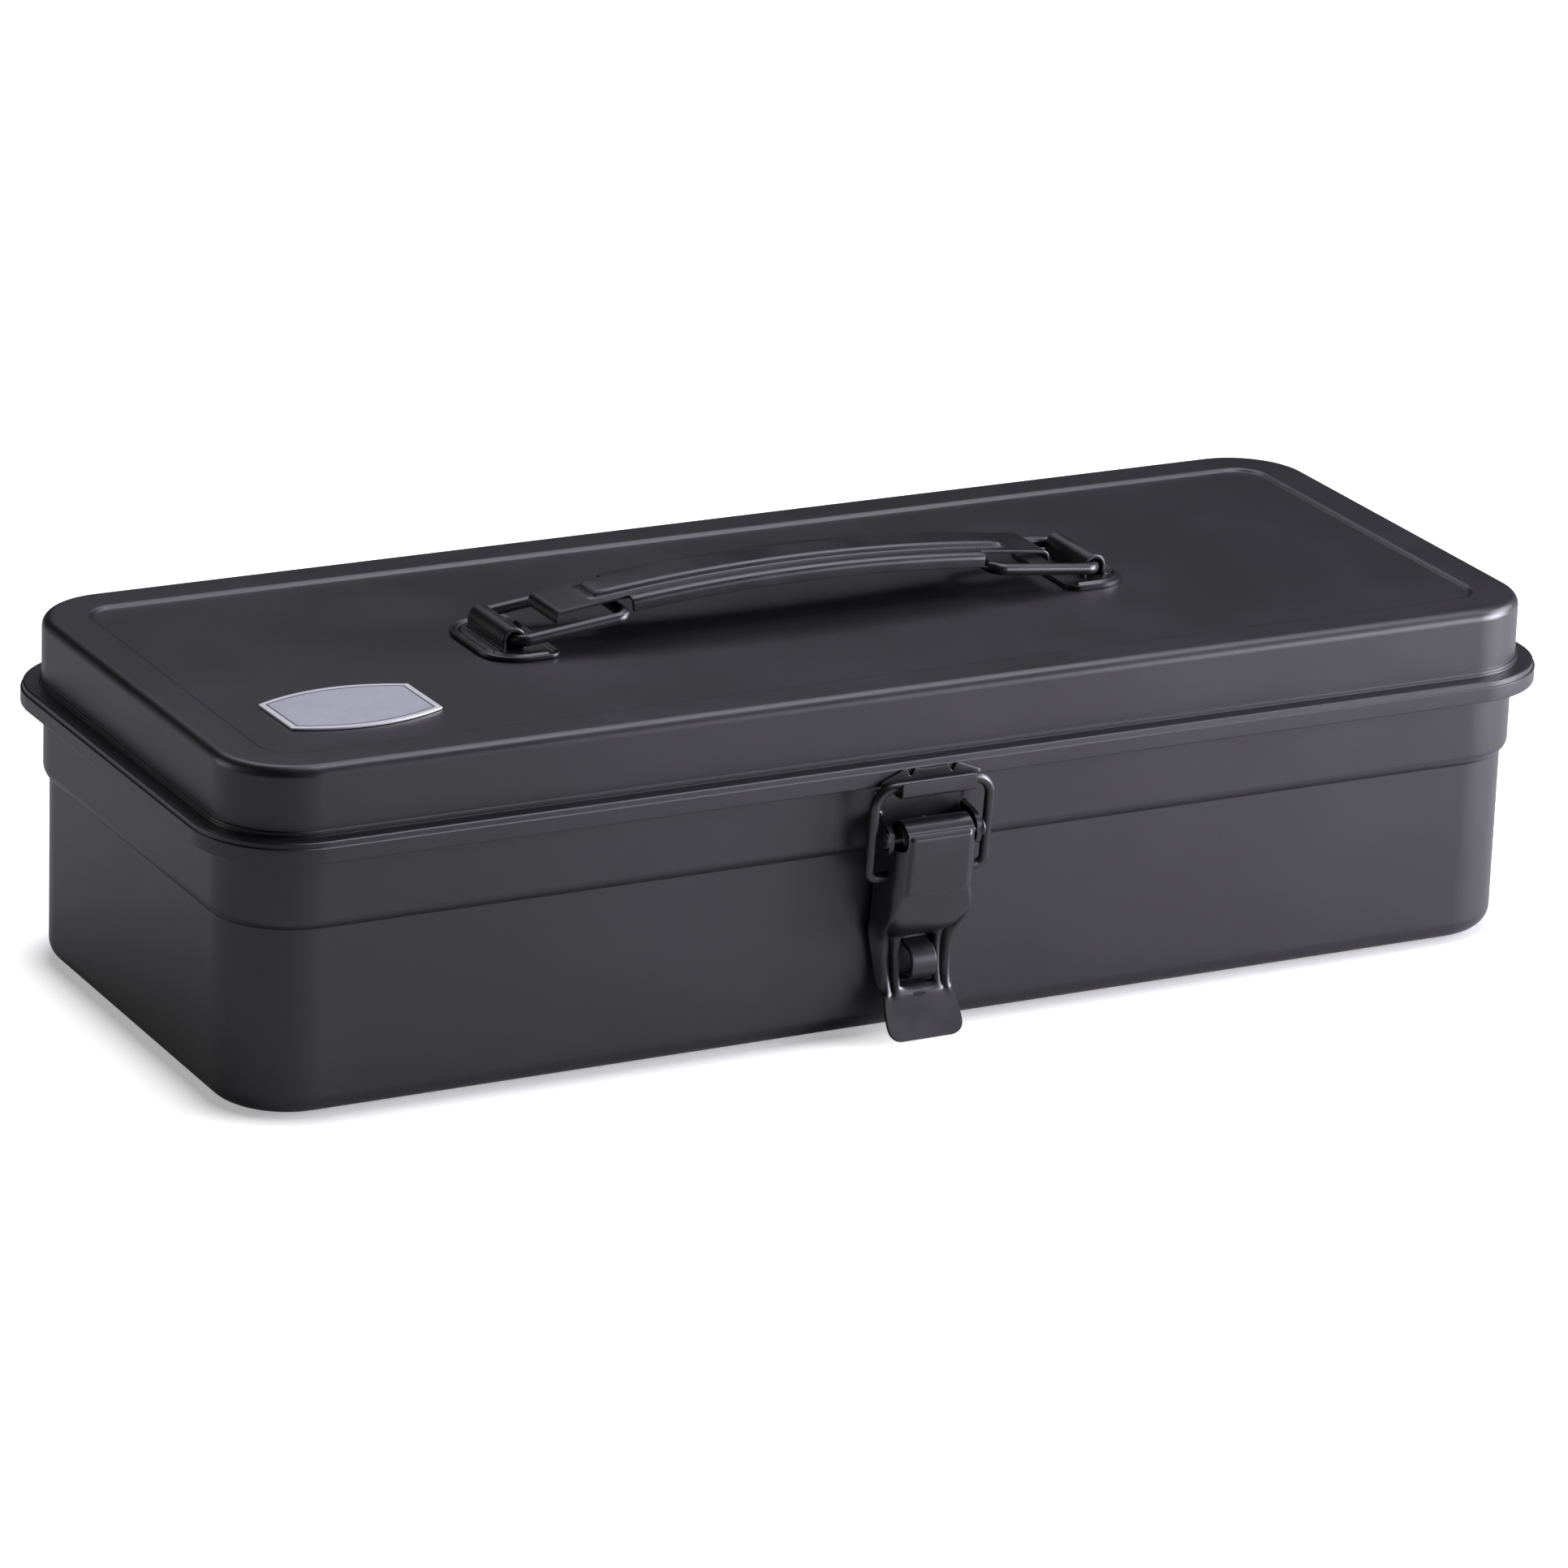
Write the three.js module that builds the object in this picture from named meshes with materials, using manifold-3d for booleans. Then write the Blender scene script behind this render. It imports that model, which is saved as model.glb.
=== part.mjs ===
// A small steel tool box: drawn tub and lid, draw latch with a wire bail, lift handle.
// Millimetres, +X to the right, +Y to the back, +Z up, origin under the middle of the tub.

import * as THREE from 'three';
import { mergeVertices } from 'three/addons/utils/BufferGeometryUtils.js';
import Module from 'manifold-3d';

const wasm = await Module();
wasm.setup();

// Fits and clearances
const SEAT_GAP = 0.1;
const RUN_GAP = 0.3;
const CUT_OVERRUN = 1;
const ARC_STEPS = 4;
const CORNER_STEPS = 8;
const QUARTER_TURN = 90;
const CORNER_SIGN_SHARES = [[1, 1], [-1, 1], [-1, -1], [1, -1]];

// Outline of the lid flange, which is the largest outline of the box
const FLANGE_LENGTH = 333;
const FLANGE_DEPTH = 137;
const FLANGE_CORNER = 22.8;
const BOX_SHEET = 0.8;

// Lid
const LID_RISE = 15.4;
const LIP_HEIGHT = 4.8;
const FLANGE_EDGE_RADIUS = 1;
const LID_WALL_INSET = 4.7;
const LID_EDGE_RADIUS = 2.5;
const LID_FOOT_RADIUS = 1.4;
const PANEL_BORDER = 10.6;
const PANEL_SLOPE = 0.9;
const PANEL_DROP = 0.7;

// Tub
const TUB_HEIGHT = 64;
const BAND_HEIGHT = 20.7;
const BAND_INSET_END = 4.8;
const BAND_INSET_FRONT = 4.9;
const BAND_CORNER = 19;
const LEDGE_DEPTH_END = 1.1;
const LEDGE_DEPTH_FRONT = 2;
const LEDGE_ROUND = 2.4;
const LOWER_CORNER = 18.2;
const TUB_EDGE_RADIUS = 4.7;
const HEM_HEIGHT = 2.4;
const HEM_WIDTH = 2.2;
const HEM_BEVEL = 0.4;

// Label plate on the lid
const LABEL_LENGTH = 36;
const LABEL_WIDTH = 17;
const LABEL_BOW = 4.4;
const LABEL_THICKNESS = 0.5;
const LABEL_END_MARGIN = 10.3;
const LABEL_FRONT_MARGIN = 14.6;
const LABEL_TILT = THREE.MathUtils.degToRad(1.5);

// Handle: a channel grip carried by two wire rings in two rolled knuckles
const RING_WIRE = 2.4;
const RING_BAR_SPACING = 27.4;
const RING_SPAN = 21.6;
const RING_CORNER = 3;
const RING_BUTT_GAP = 0.6;
const RING_OUTER_BAR_X = 73.4;
const RING_INNER_BAR_RISE = 3;
const GRIP_BAR_PLAY = 1.5;
const GRIP_WIDTH = 19.4;
const GRIP_HEIGHT = 3.3;
const GRIP_SHEET = 0.8;
const GRIP_EDGE_RADIUS = 1.6;
const GRIP_ARCH_RADIUS = 460;
const GRIP_STEPS = 20;
const RIB_WIDTH = 9;
const RIB_HEIGHT = 1.2;
const RIB_SLOPE = 1.4;
const RIB_END_MARGIN = 9.5;
const TONGUE_WIDTH = 14.4;
const TONGUE_HOOK = 2.8;
const TONGUE_REACH = 16.5;
const TONGUE_HOOK_FLAT = 1.2;

// Handle brackets
const BRACKET_SHEET = 1;
const BRACKET_WIDTH = 30.4;
const BRACKET_OUTER_REACH = 7.7;
const BRACKET_INNER_REACH = 9.4;
const BRACKET_OUTER_CORNER = 9;
const BRACKET_INNER_CORNER = 3;
const BRACKET_RIM_WIDTH = 1.8;
const BRACKET_RIM_HEIGHT = 0.9;
const KNUCKLE_LENGTH = 18.4;
const KNUCKLE_SHEET = 1.1;
const KNUCKLE_PLAY = 0.7;
const KNUCKLE_RISE = 3.1;

// Draw latch, all in the middle of the front: where its pivots lie from the wall and from each other
const PIVOT_STANDOFF = 7.4;
const BAR_OVER_PIVOT = 11.8;
const BAIL_PIVOT_DROP = 9.6;
const BAIL_PIVOT_SETBACK = 2.6;

// Bail and pivot pin
const BAIL_WIRE = 2.3;
const BAIL_SPAN = 28.6;
const BAIL_TOP_CORNER = 4.6;
const BAIL_FOOT_CORNER = 2;
const BAIL_END_OVERLAP = 0.8;
const BAIL_BACK_PLAY = 0.25;
const BAIL_FRONT_PLAY = 1.05;
const BAIL_FLOOR_PLAY = 0.45;
const PIVOT_PIN_RADIUS = 2.6;
const PIVOT_NECK_RADIUS = 1.1;
const PIVOT_HEAD_RADIUS = 1.9;
const PIVOT_HEAD_THICKNESS = 0.8;

// Latch base
const BASE_SHEET = 1.2;
const BASE_RISE = 8.9;
const BASE_FOOT_MARGIN = 1.3;
const BASE_JOGGLE_HEIGHT = 2.6;
const BASE_LOWER_WIDTH = 20.4;
const EAR_SHEET = 1.2;
const EAR_REACH = 1.9;
const EAR_NOSE_HEIGHT = 7;
const EAR_NOSE_CORNER = 1.6;
const EAR_SHOULDER_RISE = 5.8;
const EAR_SHOULDER_DEPTH = 3;

// Lever, from its pivot down
const LEVER_SHEET = 1.2;
const LEVER_WALL = 1;
const BARREL_WIDTH = 16.6;
const BARREL_STEPS = 12;
const BARREL_WRAP_START = -40;
const BARREL_WRAP_END = 180;
const LEVER_WIDTH = 20;
const LEVER_BELLY_WIDTH = 20.8;
const LEVER_NECK_WIDTH = 17;
const LEVER_TAB_WIDTH = 18.6;
const LEVER_SHOULDER_DROP = 2.4;
const LEVER_FLARE_DROP = 11.7;
const LEVER_BELT_DROP = 12.7;
const LEVER_BELT_PROUD = 2.7;
const LEVER_BELLY_DROP = 18.2;
const LEVER_BELLY_PROUD = 1.6;
const LEVER_NECK_STANDOFF = 3.1;
const LEVER_NECK_LEAN = 1.9;
const LEVER_WALL_DEPTH = 4;
const LEVER_WALL_FOOT_DROP = 2.2;
const LEVER_WALL_CLEARANCE = 1.3;
const LEVER_TAB_LENGTH = 9.5;
const LEVER_TAB_KICK = 6.5;
const LEVER_TAB_CORNER = 3.6;
const LEVER_TAB_SHOULDER = 1.2;
const PAD_WIDTH = 14.8;
const PAD_TOP_RISE = 0.7;
const PAD_BOTTOM_DROP = 13.5;
const PAD_RISE = 0.7;
const WINDOW_WIDTH = 9.4;
const WINDOW_LOW_PLAY = 3;
const WINDOW_HIGH_PLAY = 1.2;
const WINDOW_EDGE_DROP = 0.6;
const INNER_RAIL_WIDTH = 1;
const INNER_RAIL_RISE = 1.5;
const TAB_SLOT_WIDTH = 5;
const TAB_SLOT_HEIGHT = 0.9;
const TAB_SLOT_DROP = 1.9;
const LEVER_THROAT_SHARES = [0.45, 0.6];
const LEVER_WALL_SHARES = [0.8, 0.7];

// Padlock staple
const STAPLE_DROP = 30.3;
const STAPLE_WIDTH = 6.1;
const STAPLE_RADIUS = 4;
const STAPLE_SHEET = 1.1;
const STAPLE_FOOT = 2.6;

// Keeper on the lip of the lid
const KEEPER_SHEET = 0.6;
const KEEPER_WIDTH = 23;
const KEEPER_HOOK_WIDTH = 18.6;
const KEEPER_TOP_DROP = 0.5;
const KEEPER_DROP = 1.4;
const KEEPER_HOOK_HEIGHT = 3;
const KEEPER_NOTCH_WIDTH = 2;
const KEEPER_NOTCH_DEPTH = 1.1;
const KEEPER_NOTCH_SPACING = 9.8;

// Rivets
const RIVET_SHANK_RADIUS = 1.2;
const RIVET_HEAD_RADIUS = 2.4;
const RIVET_HEAD_HEIGHT = 0.9;
const RIVET_SHOULDER_HEIGHT_SHARE = 0.55;
const RIVET_SHOULDER_WIDTH_SHARE = 0.86;
const RIVET_CROWN_WIDTH_SHARE = 0.4;
const RIVET_TAIL_RADIUS = 2;
const RIVET_TAIL_HEIGHT = 0.6;
const RIVET_HOLE_PLAY = 0.15;
const BASE_RIVET_DROP = 10.3;
const BASE_RIVET_SPACING = 8;

// Hinges at the back
const HINGE_SPACING = 190;
const HINGE_STANDOFF = 2.8;
const HINGE_DROP = 2;
const HINGE_SHEET = 0.8;
const HINGE_BARREL_RADIUS = 2.3;
const HINGE_PIN_RADIUS = 1.2;
const HINGE_PIN_HEAD_RADIUS = 1.9;
const HINGE_PIN_HEAD_LENGTH = 0.8;
const HINGE_WIDTH = 36;
const HINGE_OUTER_KNUCKLE = 10;
const HINGE_BEND_UNDER_LIP = 4.1;
const HINGE_BEND_OVER_FLANGE = 2.8;
const HINGE_LID_FLAT = 9.6;
const HINGE_BRIDGE_CLEARANCE = 0.5;
const HINGE_BRIDGE_SHARE = 0.4;
const HINGE_TRIM_SHARE = 0.3;
const HINGE_CURL_SHARES = [0.25, 0.6];
const HINGE_RIVET_SPACING = 24;

// Faces and axes that several pieces share
const FLANGE_UNDERSIDE = TUB_HEIGHT + RUN_GAP;
const FLANGE_TOP = FLANGE_UNDERSIDE + BOX_SHEET;
const LIP_BOTTOM = FLANGE_TOP - LIP_HEIGHT;
const LID_TOP = FLANGE_TOP + LID_RISE;
const PANEL_TOP = LID_TOP - PANEL_DROP;
const PANEL_INSET = LID_WALL_INSET + PANEL_BORDER + PANEL_SLOPE;
const LEDGE_HEIGHT = TUB_HEIGHT - BAND_HEIGHT;
const LIP_FRONT_Y = -FLANGE_DEPTH / 2;
const BAND_FRONT_Y = LIP_FRONT_Y + BAND_INSET_FRONT;
const LOWER_FRONT_Y = BAND_FRONT_Y + LEDGE_DEPTH_FRONT;
const BAND_BACK_Y = -BAND_FRONT_Y;
const LID_BACK_Y = FLANGE_DEPTH / 2 - LID_WALL_INSET;
const HOLE_RADIUS = RIVET_SHANK_RADIUS + RIVET_HOLE_PLAY;

// Handle axes
const BRACKET_BOTTOM = PANEL_TOP + SEAT_GAP;
const RING_AXIS_HEIGHT = BRACKET_BOTTOM + KNUCKLE_RISE;
const RING_REST_ANGLE = Math.asin(RING_INNER_BAR_RISE / RING_BAR_SPACING);
const RING_INNER_BAR_X = RING_OUTER_BAR_X - RING_BAR_SPACING * Math.cos(RING_REST_ANGLE);
const GRIP_TOP = RING_AXIS_HEIGHT + RING_INNER_BAR_RISE + RING_WIRE / 2 + GRIP_BAR_PLAY + GRIP_SHEET
  + archDrop(RING_INNER_BAR_X);
const FLANGE_END_X = RING_INNER_BAR_X - RING_WIRE / 2 - RUN_GAP;
const TONGUE_END_X = RING_INNER_BAR_X + TONGUE_REACH;

// Latch axes and faces
const KEEPER_FLOOR = LIP_BOTTOM - KEEPER_DROP;
const KEEPER_FRONT_Y = LIP_FRONT_Y - SEAT_GAP - KEEPER_SHEET;
const BAIL_BAR_Y = KEEPER_FRONT_Y - BAIL_BACK_PLAY - BAIL_WIRE / 2;
const BAIL_BAR_HEIGHT = KEEPER_FLOOR + BAIL_FLOOR_PLAY + BAIL_WIRE / 2;
const KEEPER_HOOK_INNER_Y = BAIL_BAR_Y - BAIL_WIRE / 2 - BAIL_FRONT_PLAY;
const LATCH_PIVOT_Y = BAND_FRONT_Y - PIVOT_STANDOFF;
const LATCH_PIVOT_HEIGHT = BAIL_BAR_HEIGHT - BAR_OVER_PIVOT;
const BAIL_PIVOT_Y = LATCH_PIVOT_Y + BAIL_PIVOT_SETBACK;
const BAIL_PIVOT_HEIGHT = LATCH_PIVOT_HEIGHT - BAIL_PIVOT_DROP;
const BARREL_RADIUS = PIVOT_PIN_RADIUS + RUN_GAP + LEVER_SHEET;
const EAR_INNER_X = LEVER_WIDTH / 2 + RUN_GAP;
const EAR_OUTER_X = EAR_INNER_X + EAR_SHEET;
const BASE_UPPER_FRONT_Y = BAND_FRONT_Y - SEAT_GAP - BASE_SHEET;
const BASE_LOWER_FRONT_Y = LOWER_FRONT_Y - SEAT_GAP - BASE_SHEET;
const STAPLE_HEIGHT = LATCH_PIVOT_HEIGHT - STAPLE_DROP;
const WINDOW_TOP = STAPLE_HEIGHT + STAPLE_RADIUS + WINDOW_HIGH_PLAY;
const WINDOW_BOTTOM = STAPLE_HEIGHT - STAPLE_RADIUS - WINDOW_LOW_PLAY;
const BASE_RIVET_TOP_HEIGHT = LEDGE_HEIGHT + LEDGE_ROUND + BOX_SHEET + RIVET_TAIL_RADIUS + RUN_GAP;
const BASE_RIVET_LOW_HEIGHT = LEDGE_HEIGHT - BASE_RIVET_DROP;

// Hinge axis and the flat parts of its leaves
const HINGE_Y = FLANGE_DEPTH / 2 + HINGE_STANDOFF;
const HINGE_HEIGHT = TUB_HEIGHT - HINGE_DROP;
const HINGE_BODY_FLAT_BOTTOM = LEDGE_HEIGHT + LEDGE_ROUND + RUN_GAP;
const HINGE_BODY_FLAT_TOP = LIP_BOTTOM - HINGE_BEND_UNDER_LIP;
const HINGE_LID_FLAT_BOTTOM = FLANGE_TOP + HINGE_BEND_OVER_FLANGE;
const HINGE_LID_FLAT_TOP = HINGE_LID_FLAT_BOTTOM + HINGE_LID_FLAT;
const HINGE_BODY_RIVET_HEIGHT = (HINGE_BODY_FLAT_BOTTOM + HINGE_BODY_FLAT_TOP) / 2;
const HINGE_LID_RIVET_HEIGHT = (HINGE_LID_FLAT_BOTTOM + HINGE_LID_FLAT_TOP) / 2;

// Finishes
const blackPaint = new THREE.MeshStandardMaterial({
  name: 'black_powder_coat', color: 0x2e2d31, roughness: 0.5, metalness: 0.1,
});
const blackHardware = new THREE.MeshStandardMaterial({
  name: 'black_hardware', color: 0x232225, roughness: 0.38, metalness: 0.35,
});
const silverLabel = new THREE.MeshStandardMaterial({ name: 'brushed_label', color: 0xb8b9bd, roughness: 0.4,
  metalness: 0.6 });
const steel = new THREE.MeshStandardMaterial({ name: 'dark_steel', color: 0x3a393d, roughness: 0.32,
  metalness: 0.7 });

/** Merges equal corners, drops empty triangles and turns the faces outwards. */
function weld(geometry) {
  const plain = geometry.index ? geometry.toNonIndexed() : geometry.clone();
  for (const attribute of Object.keys(plain.attributes)) {
    if (attribute !== 'position') plain.deleteAttribute(attribute);
  }
  const merged = mergeVertices(plain, 1e-4);
  const { array } = merged.attributes.position;
  const corners = merged.index.array;
  const kept = [];
  let volume = 0;
  for (let i = 0; i < corners.length; i += 3) {
    const [a, b, c] = [corners[i], corners[i + 1], corners[i + 2]];
    if (a === b || b === c || c === a) continue;
    kept.push(a, b, c);
    const p = new THREE.Vector3().fromArray(array, 3 * a);
    const q = new THREE.Vector3().fromArray(array, 3 * b);
    const r = new THREE.Vector3().fromArray(array, 3 * c);
    volume += p.dot(q.cross(r));
  }
  if (volume < 0) kept.reverse();
  merged.setIndex(kept);
  return merged;
}

/** A closed geometry as a solid that can be joined and cut. */
function solid(geometry) {
  const welded = weld(geometry);
  return new wasm.Manifold(new wasm.Mesh({ numProp: 3,
    vertProperties: Float32Array.from(welded.attributes.position.array),
    triVerts: Uint32Array.from(welded.index.array) }));
}

/** A solid back as a geometry. */
function geometryOf(shape) {
  const result = shape.getMesh();
  const geometry = new THREE.BufferGeometry();
  geometry.setAttribute('position', new THREE.BufferAttribute(Float32Array.from(result.vertProperties), 3));
  geometry.setIndex(new THREE.BufferAttribute(Uint32Array.from(result.triVerts), 1));
  return geometry;
}

/** A named piece from a solid or a geometry. */
function piece(name, shape, material) {
  const geometry = shape.isBufferGeometry ? weld(shape) : geometryOf(shape);
  const mesh = new THREE.Mesh(geometry, material);
  mesh.name = name;
  return mesh;
}

/** Joins solids into one. */
function join(...shapes) {
  return shapes.reduce((whole, shape) => whole.add(shape));
}

/** Cuts solids out of the first. */
function cut(shape, ...tools) {
  return tools.reduce((rest, tool) => rest.subtract(tool), shape);
}

/** A box between two corners. */
function block(x0, x1, y0, y1, z0, z1) {
  const geometry = new THREE.BoxGeometry(x1 - x0, y1 - y0, z1 - z0);
  geometry.translate((x0 + x1) / 2, (y0 + y1) / 2, (z0 + z1) / 2);
  return solid(geometry);
}

/** An outline in (y, z) pushed along X from x0 to x1. */
function extrudeX(shape, x0, x1, steps = 1) {
  const geometry = new THREE.ExtrudeGeometry(shape, { depth: x1 - x0, steps, bevelEnabled: false,
    curveSegments: ARC_STEPS });
  const turn = new THREE.Matrix4().set(0, 0, 1, x0, 1, 0, 0, 0, 0, 1, 0, 0, 0, 0, 0, 1);
  return geometry.applyMatrix4(turn);
}

/** An outline in (x, z) pushed along Y from y0 to y1. */
function extrudeY(shape, y0, y1) {
  const geometry = new THREE.ExtrudeGeometry(shape, { depth: y1 - y0, bevelEnabled: false,
    curveSegments: ARC_STEPS });
  const turn = new THREE.Matrix4().set(1, 0, 0, 0, 0, 0, -1, y1, 0, 1, 0, 0, 0, 0, 0, 1);
  return geometry.applyMatrix4(turn);
}

/** An outline in (x, y) pushed up from z0 to z1. */
function extrudeZ(shape, z0, z1) {
  const geometry = new THREE.ExtrudeGeometry(shape, { depth: z1 - z0, bevelEnabled: false,
    curveSegments: ARC_STEPS });
  return geometry.translate(0, 0, z0);
}

/** A closed outline through points. */
function outline(points) {
  return new THREE.Shape(points.map(([a, b]) => new THREE.Vector2(a, b)));
}

/** The outline of a bent sheet of one thickness whose middle runs through points. */
function bentSheet(points, thickness) {
  const middle = points.map(([a, b]) => new THREE.Vector2(a, b));
  const left = [];
  const right = [];
  middle.forEach((point, i) => {
    const before = middle[Math.max(i - 1, 0)];
    const after = middle[Math.min(i + 1, middle.length - 1)];
    const arriving = point.clone().sub(before).normalize();
    const leaving = after.clone().sub(point).normalize();
    const along = arriving.lengthSq() === 0 ? leaving : leaving.lengthSq() === 0 ? arriving
      : arriving.clone().add(leaving).normalize();
    const reference = arriving.lengthSq() === 0 ? leaving : arriving;
    const across = new THREE.Vector2(-along.y, along.x);
    const mitre = thickness / 2 / Math.abs(along.dot(reference));
    left.push(point.clone().addScaledVector(across, mitre));
    right.push(point.clone().addScaledVector(across, -mitre));
  });
  return new THREE.Shape([...left, ...right.reverse()]);
}

/** Points on an arc round (a, b), from one angle to another, in degrees. */
function arc(a, b, radius, from, to, steps = ARC_STEPS) {
  const points = [];
  for (let i = 0; i <= steps; i += 1) {
    const angle = THREE.MathUtils.degToRad(THREE.MathUtils.lerp(from, to, i / steps));
    points.push([a + radius * Math.cos(angle), b + radius * Math.sin(angle)]);
  }
  return points;
}

/** A round hole or pin outline. */
function disc(a, b, radius, steps = 16) {
  return outline(arc(a, b, radius, 0, 360, steps).slice(0, -1));
}

/** A rounded rectangle as a ring of points at one height. */
function roundedRing({ halfX, halfY, radius, z }) {
  const corner = ([sx, sy], turn) => arc(sx * (halfX - radius), sy * (halfY - radius), radius,
    turn * QUARTER_TURN, (turn + 1) * QUARTER_TURN, CORNER_STEPS);
  return CORNER_SIGN_SHARES.flatMap(corner).map(([x, y]) => new THREE.Vector3(x, y, z));
}

/** A closed skin through rings that have the same number of points, with flat ends. */
function loft(rings) {
  const count = rings[0].length;
  const positions = rings.flat().flatMap((point) => point.toArray());
  const corners = [];
  for (let r = 0; r + 1 < rings.length; r += 1) {
    for (let i = 0; i < count; i += 1) {
      const a = r * count + i;
      const b = r * count + ((i + 1) % count);
      corners.push(a, b, b + count, a, b + count, a + count);
    }
  }
  for (const [ring, flip] of [[0, true], [rings.length - 1, false]]) {
    for (let i = 1; i + 1 < count; i += 1) {
      const fan = [ring * count, ring * count + i, ring * count + i + 1];
      corners.push(...(flip ? fan.reverse() : fan));
    }
  }
  const geometry = new THREE.BufferGeometry();
  geometry.setAttribute('position', new THREE.Float32BufferAttribute(positions, 3));
  geometry.setIndex(corners);
  return geometry;
}

/** A bent round wire. The corners of its route are rounded, and lie in the plane square to the normal. */
function wire(route, radii, diameter, normal, sides = 10) {
  const stations = [{ point: route[0], along: route[1].clone().sub(route[0]).normalize() }];
  for (let i = 1; i + 1 < route.length; i += 1) {
    const arriving = route[i].clone().sub(route[i - 1]).normalize();
    const leaving = route[i + 1].clone().sub(route[i]).normalize();
    const turn = arriving.angleTo(leaving);
    const trim = radii[i - 1] * Math.tan(turn / 2);
    const start = route[i].clone().addScaledVector(arriving, -trim);
    const toCentre = leaving.clone().sub(arriving).normalize();
    const centre = route[i].clone().addScaledVector(toCentre, radii[i - 1] / Math.cos(turn / 2));
    const axis = arriving.clone().cross(leaving).normalize();
    for (let s = 0; s <= ARC_STEPS; s += 1) {
      const angle = turn * s / ARC_STEPS;
      stations.push({ point: start.clone().sub(centre).applyAxisAngle(axis, angle).add(centre),
        along: arriving.clone().applyAxisAngle(axis, angle) });
    }
  }
  const last = route.length - 1;
  stations.push({ point: route[last], along: route[last].clone().sub(route[last - 1]).normalize() });
  const rings = stations.map(({ point, along }) => {
    const side = normal.clone().cross(along).normalize();
    return Array.from({ length: sides }, (_, i) => {
      const angle = 2 * Math.PI * i / sides;
      return point.clone().addScaledVector(side, diameter / 2 * Math.cos(angle))
        .addScaledVector(normal, diameter / 2 * Math.sin(angle));
    });
  });
  return loft(rings);
}

/** A turned piece whose axis lies along X, from a profile of (distance along, radius). */
function turnedX(profile, segments = 16) {
  const geometry = new THREE.LatheGeometry(profile.map(([along, radius]) => new THREE.Vector2(radius, along)),
    segments);
  return geometry.rotateZ(-Math.PI / 2);
}

/** One rivet along Y at (x, z): the head stands on headY and the tail closes on tailY. */
function rivet(x, headY, tailY, z) {
  const outwards = Math.sign(headY - tailY);
  const profile = [
    [-RIVET_TAIL_HEIGHT, 0],
    [-RIVET_TAIL_HEIGHT, RIVET_TAIL_RADIUS],
    [0, RIVET_TAIL_RADIUS],
    [0, RIVET_SHANK_RADIUS],
    [Math.abs(headY - tailY), RIVET_SHANK_RADIUS],
    [Math.abs(headY - tailY), RIVET_HEAD_RADIUS],
    [Math.abs(headY - tailY) + RIVET_HEAD_HEIGHT * RIVET_SHOULDER_HEIGHT_SHARE,
      RIVET_HEAD_RADIUS * RIVET_SHOULDER_WIDTH_SHARE],
    [Math.abs(headY - tailY) + RIVET_HEAD_HEIGHT, RIVET_HEAD_RADIUS * RIVET_CROWN_WIDTH_SHARE],
    [Math.abs(headY - tailY) + RIVET_HEAD_HEIGHT, 0],
  ];
  const points = profile.map(([along, radius]) => new THREE.Vector2(radius, along));
  const geometry = new THREE.LatheGeometry(points, 12);
  if (outwards < 0) geometry.rotateX(Math.PI);
  return geometry.translate(x, tailY, z);
}

/** A drill along Y for the shank of a rivet. */
function rivetDrill(x, y, z) {
  const reach = BOX_SHEET + BASE_SHEET + CUT_OVERRUN;
  return solid(extrudeY(disc(x, z, HOLE_RADIUS, 12), y - reach, y + reach));
}

const hingeCentres = [['left', -HINGE_SPACING / 2], ['right', HINGE_SPACING / 2]];
const hingeRivetSides = [['inner', -HINGE_RIVET_SPACING / 2], ['outer', HINGE_RIVET_SPACING / 2]];
const baseRivets = [
  ['latch_rivet_top', 0, BASE_RIVET_TOP_HEIGHT],
  ['latch_rivet_left', -BASE_RIVET_SPACING / 2, BASE_RIVET_LOW_HEIGHT],
  ['latch_rivet_right', BASE_RIVET_SPACING / 2, BASE_RIVET_LOW_HEIGHT],
];

/** The wall of the tub behind a height: the band above its ledge, the lower wall under it. */
function frontWallY(height) {
  return height > LEDGE_HEIGHT + LEDGE_ROUND ? BAND_FRONT_Y : LOWER_FRONT_Y;
}

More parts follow.
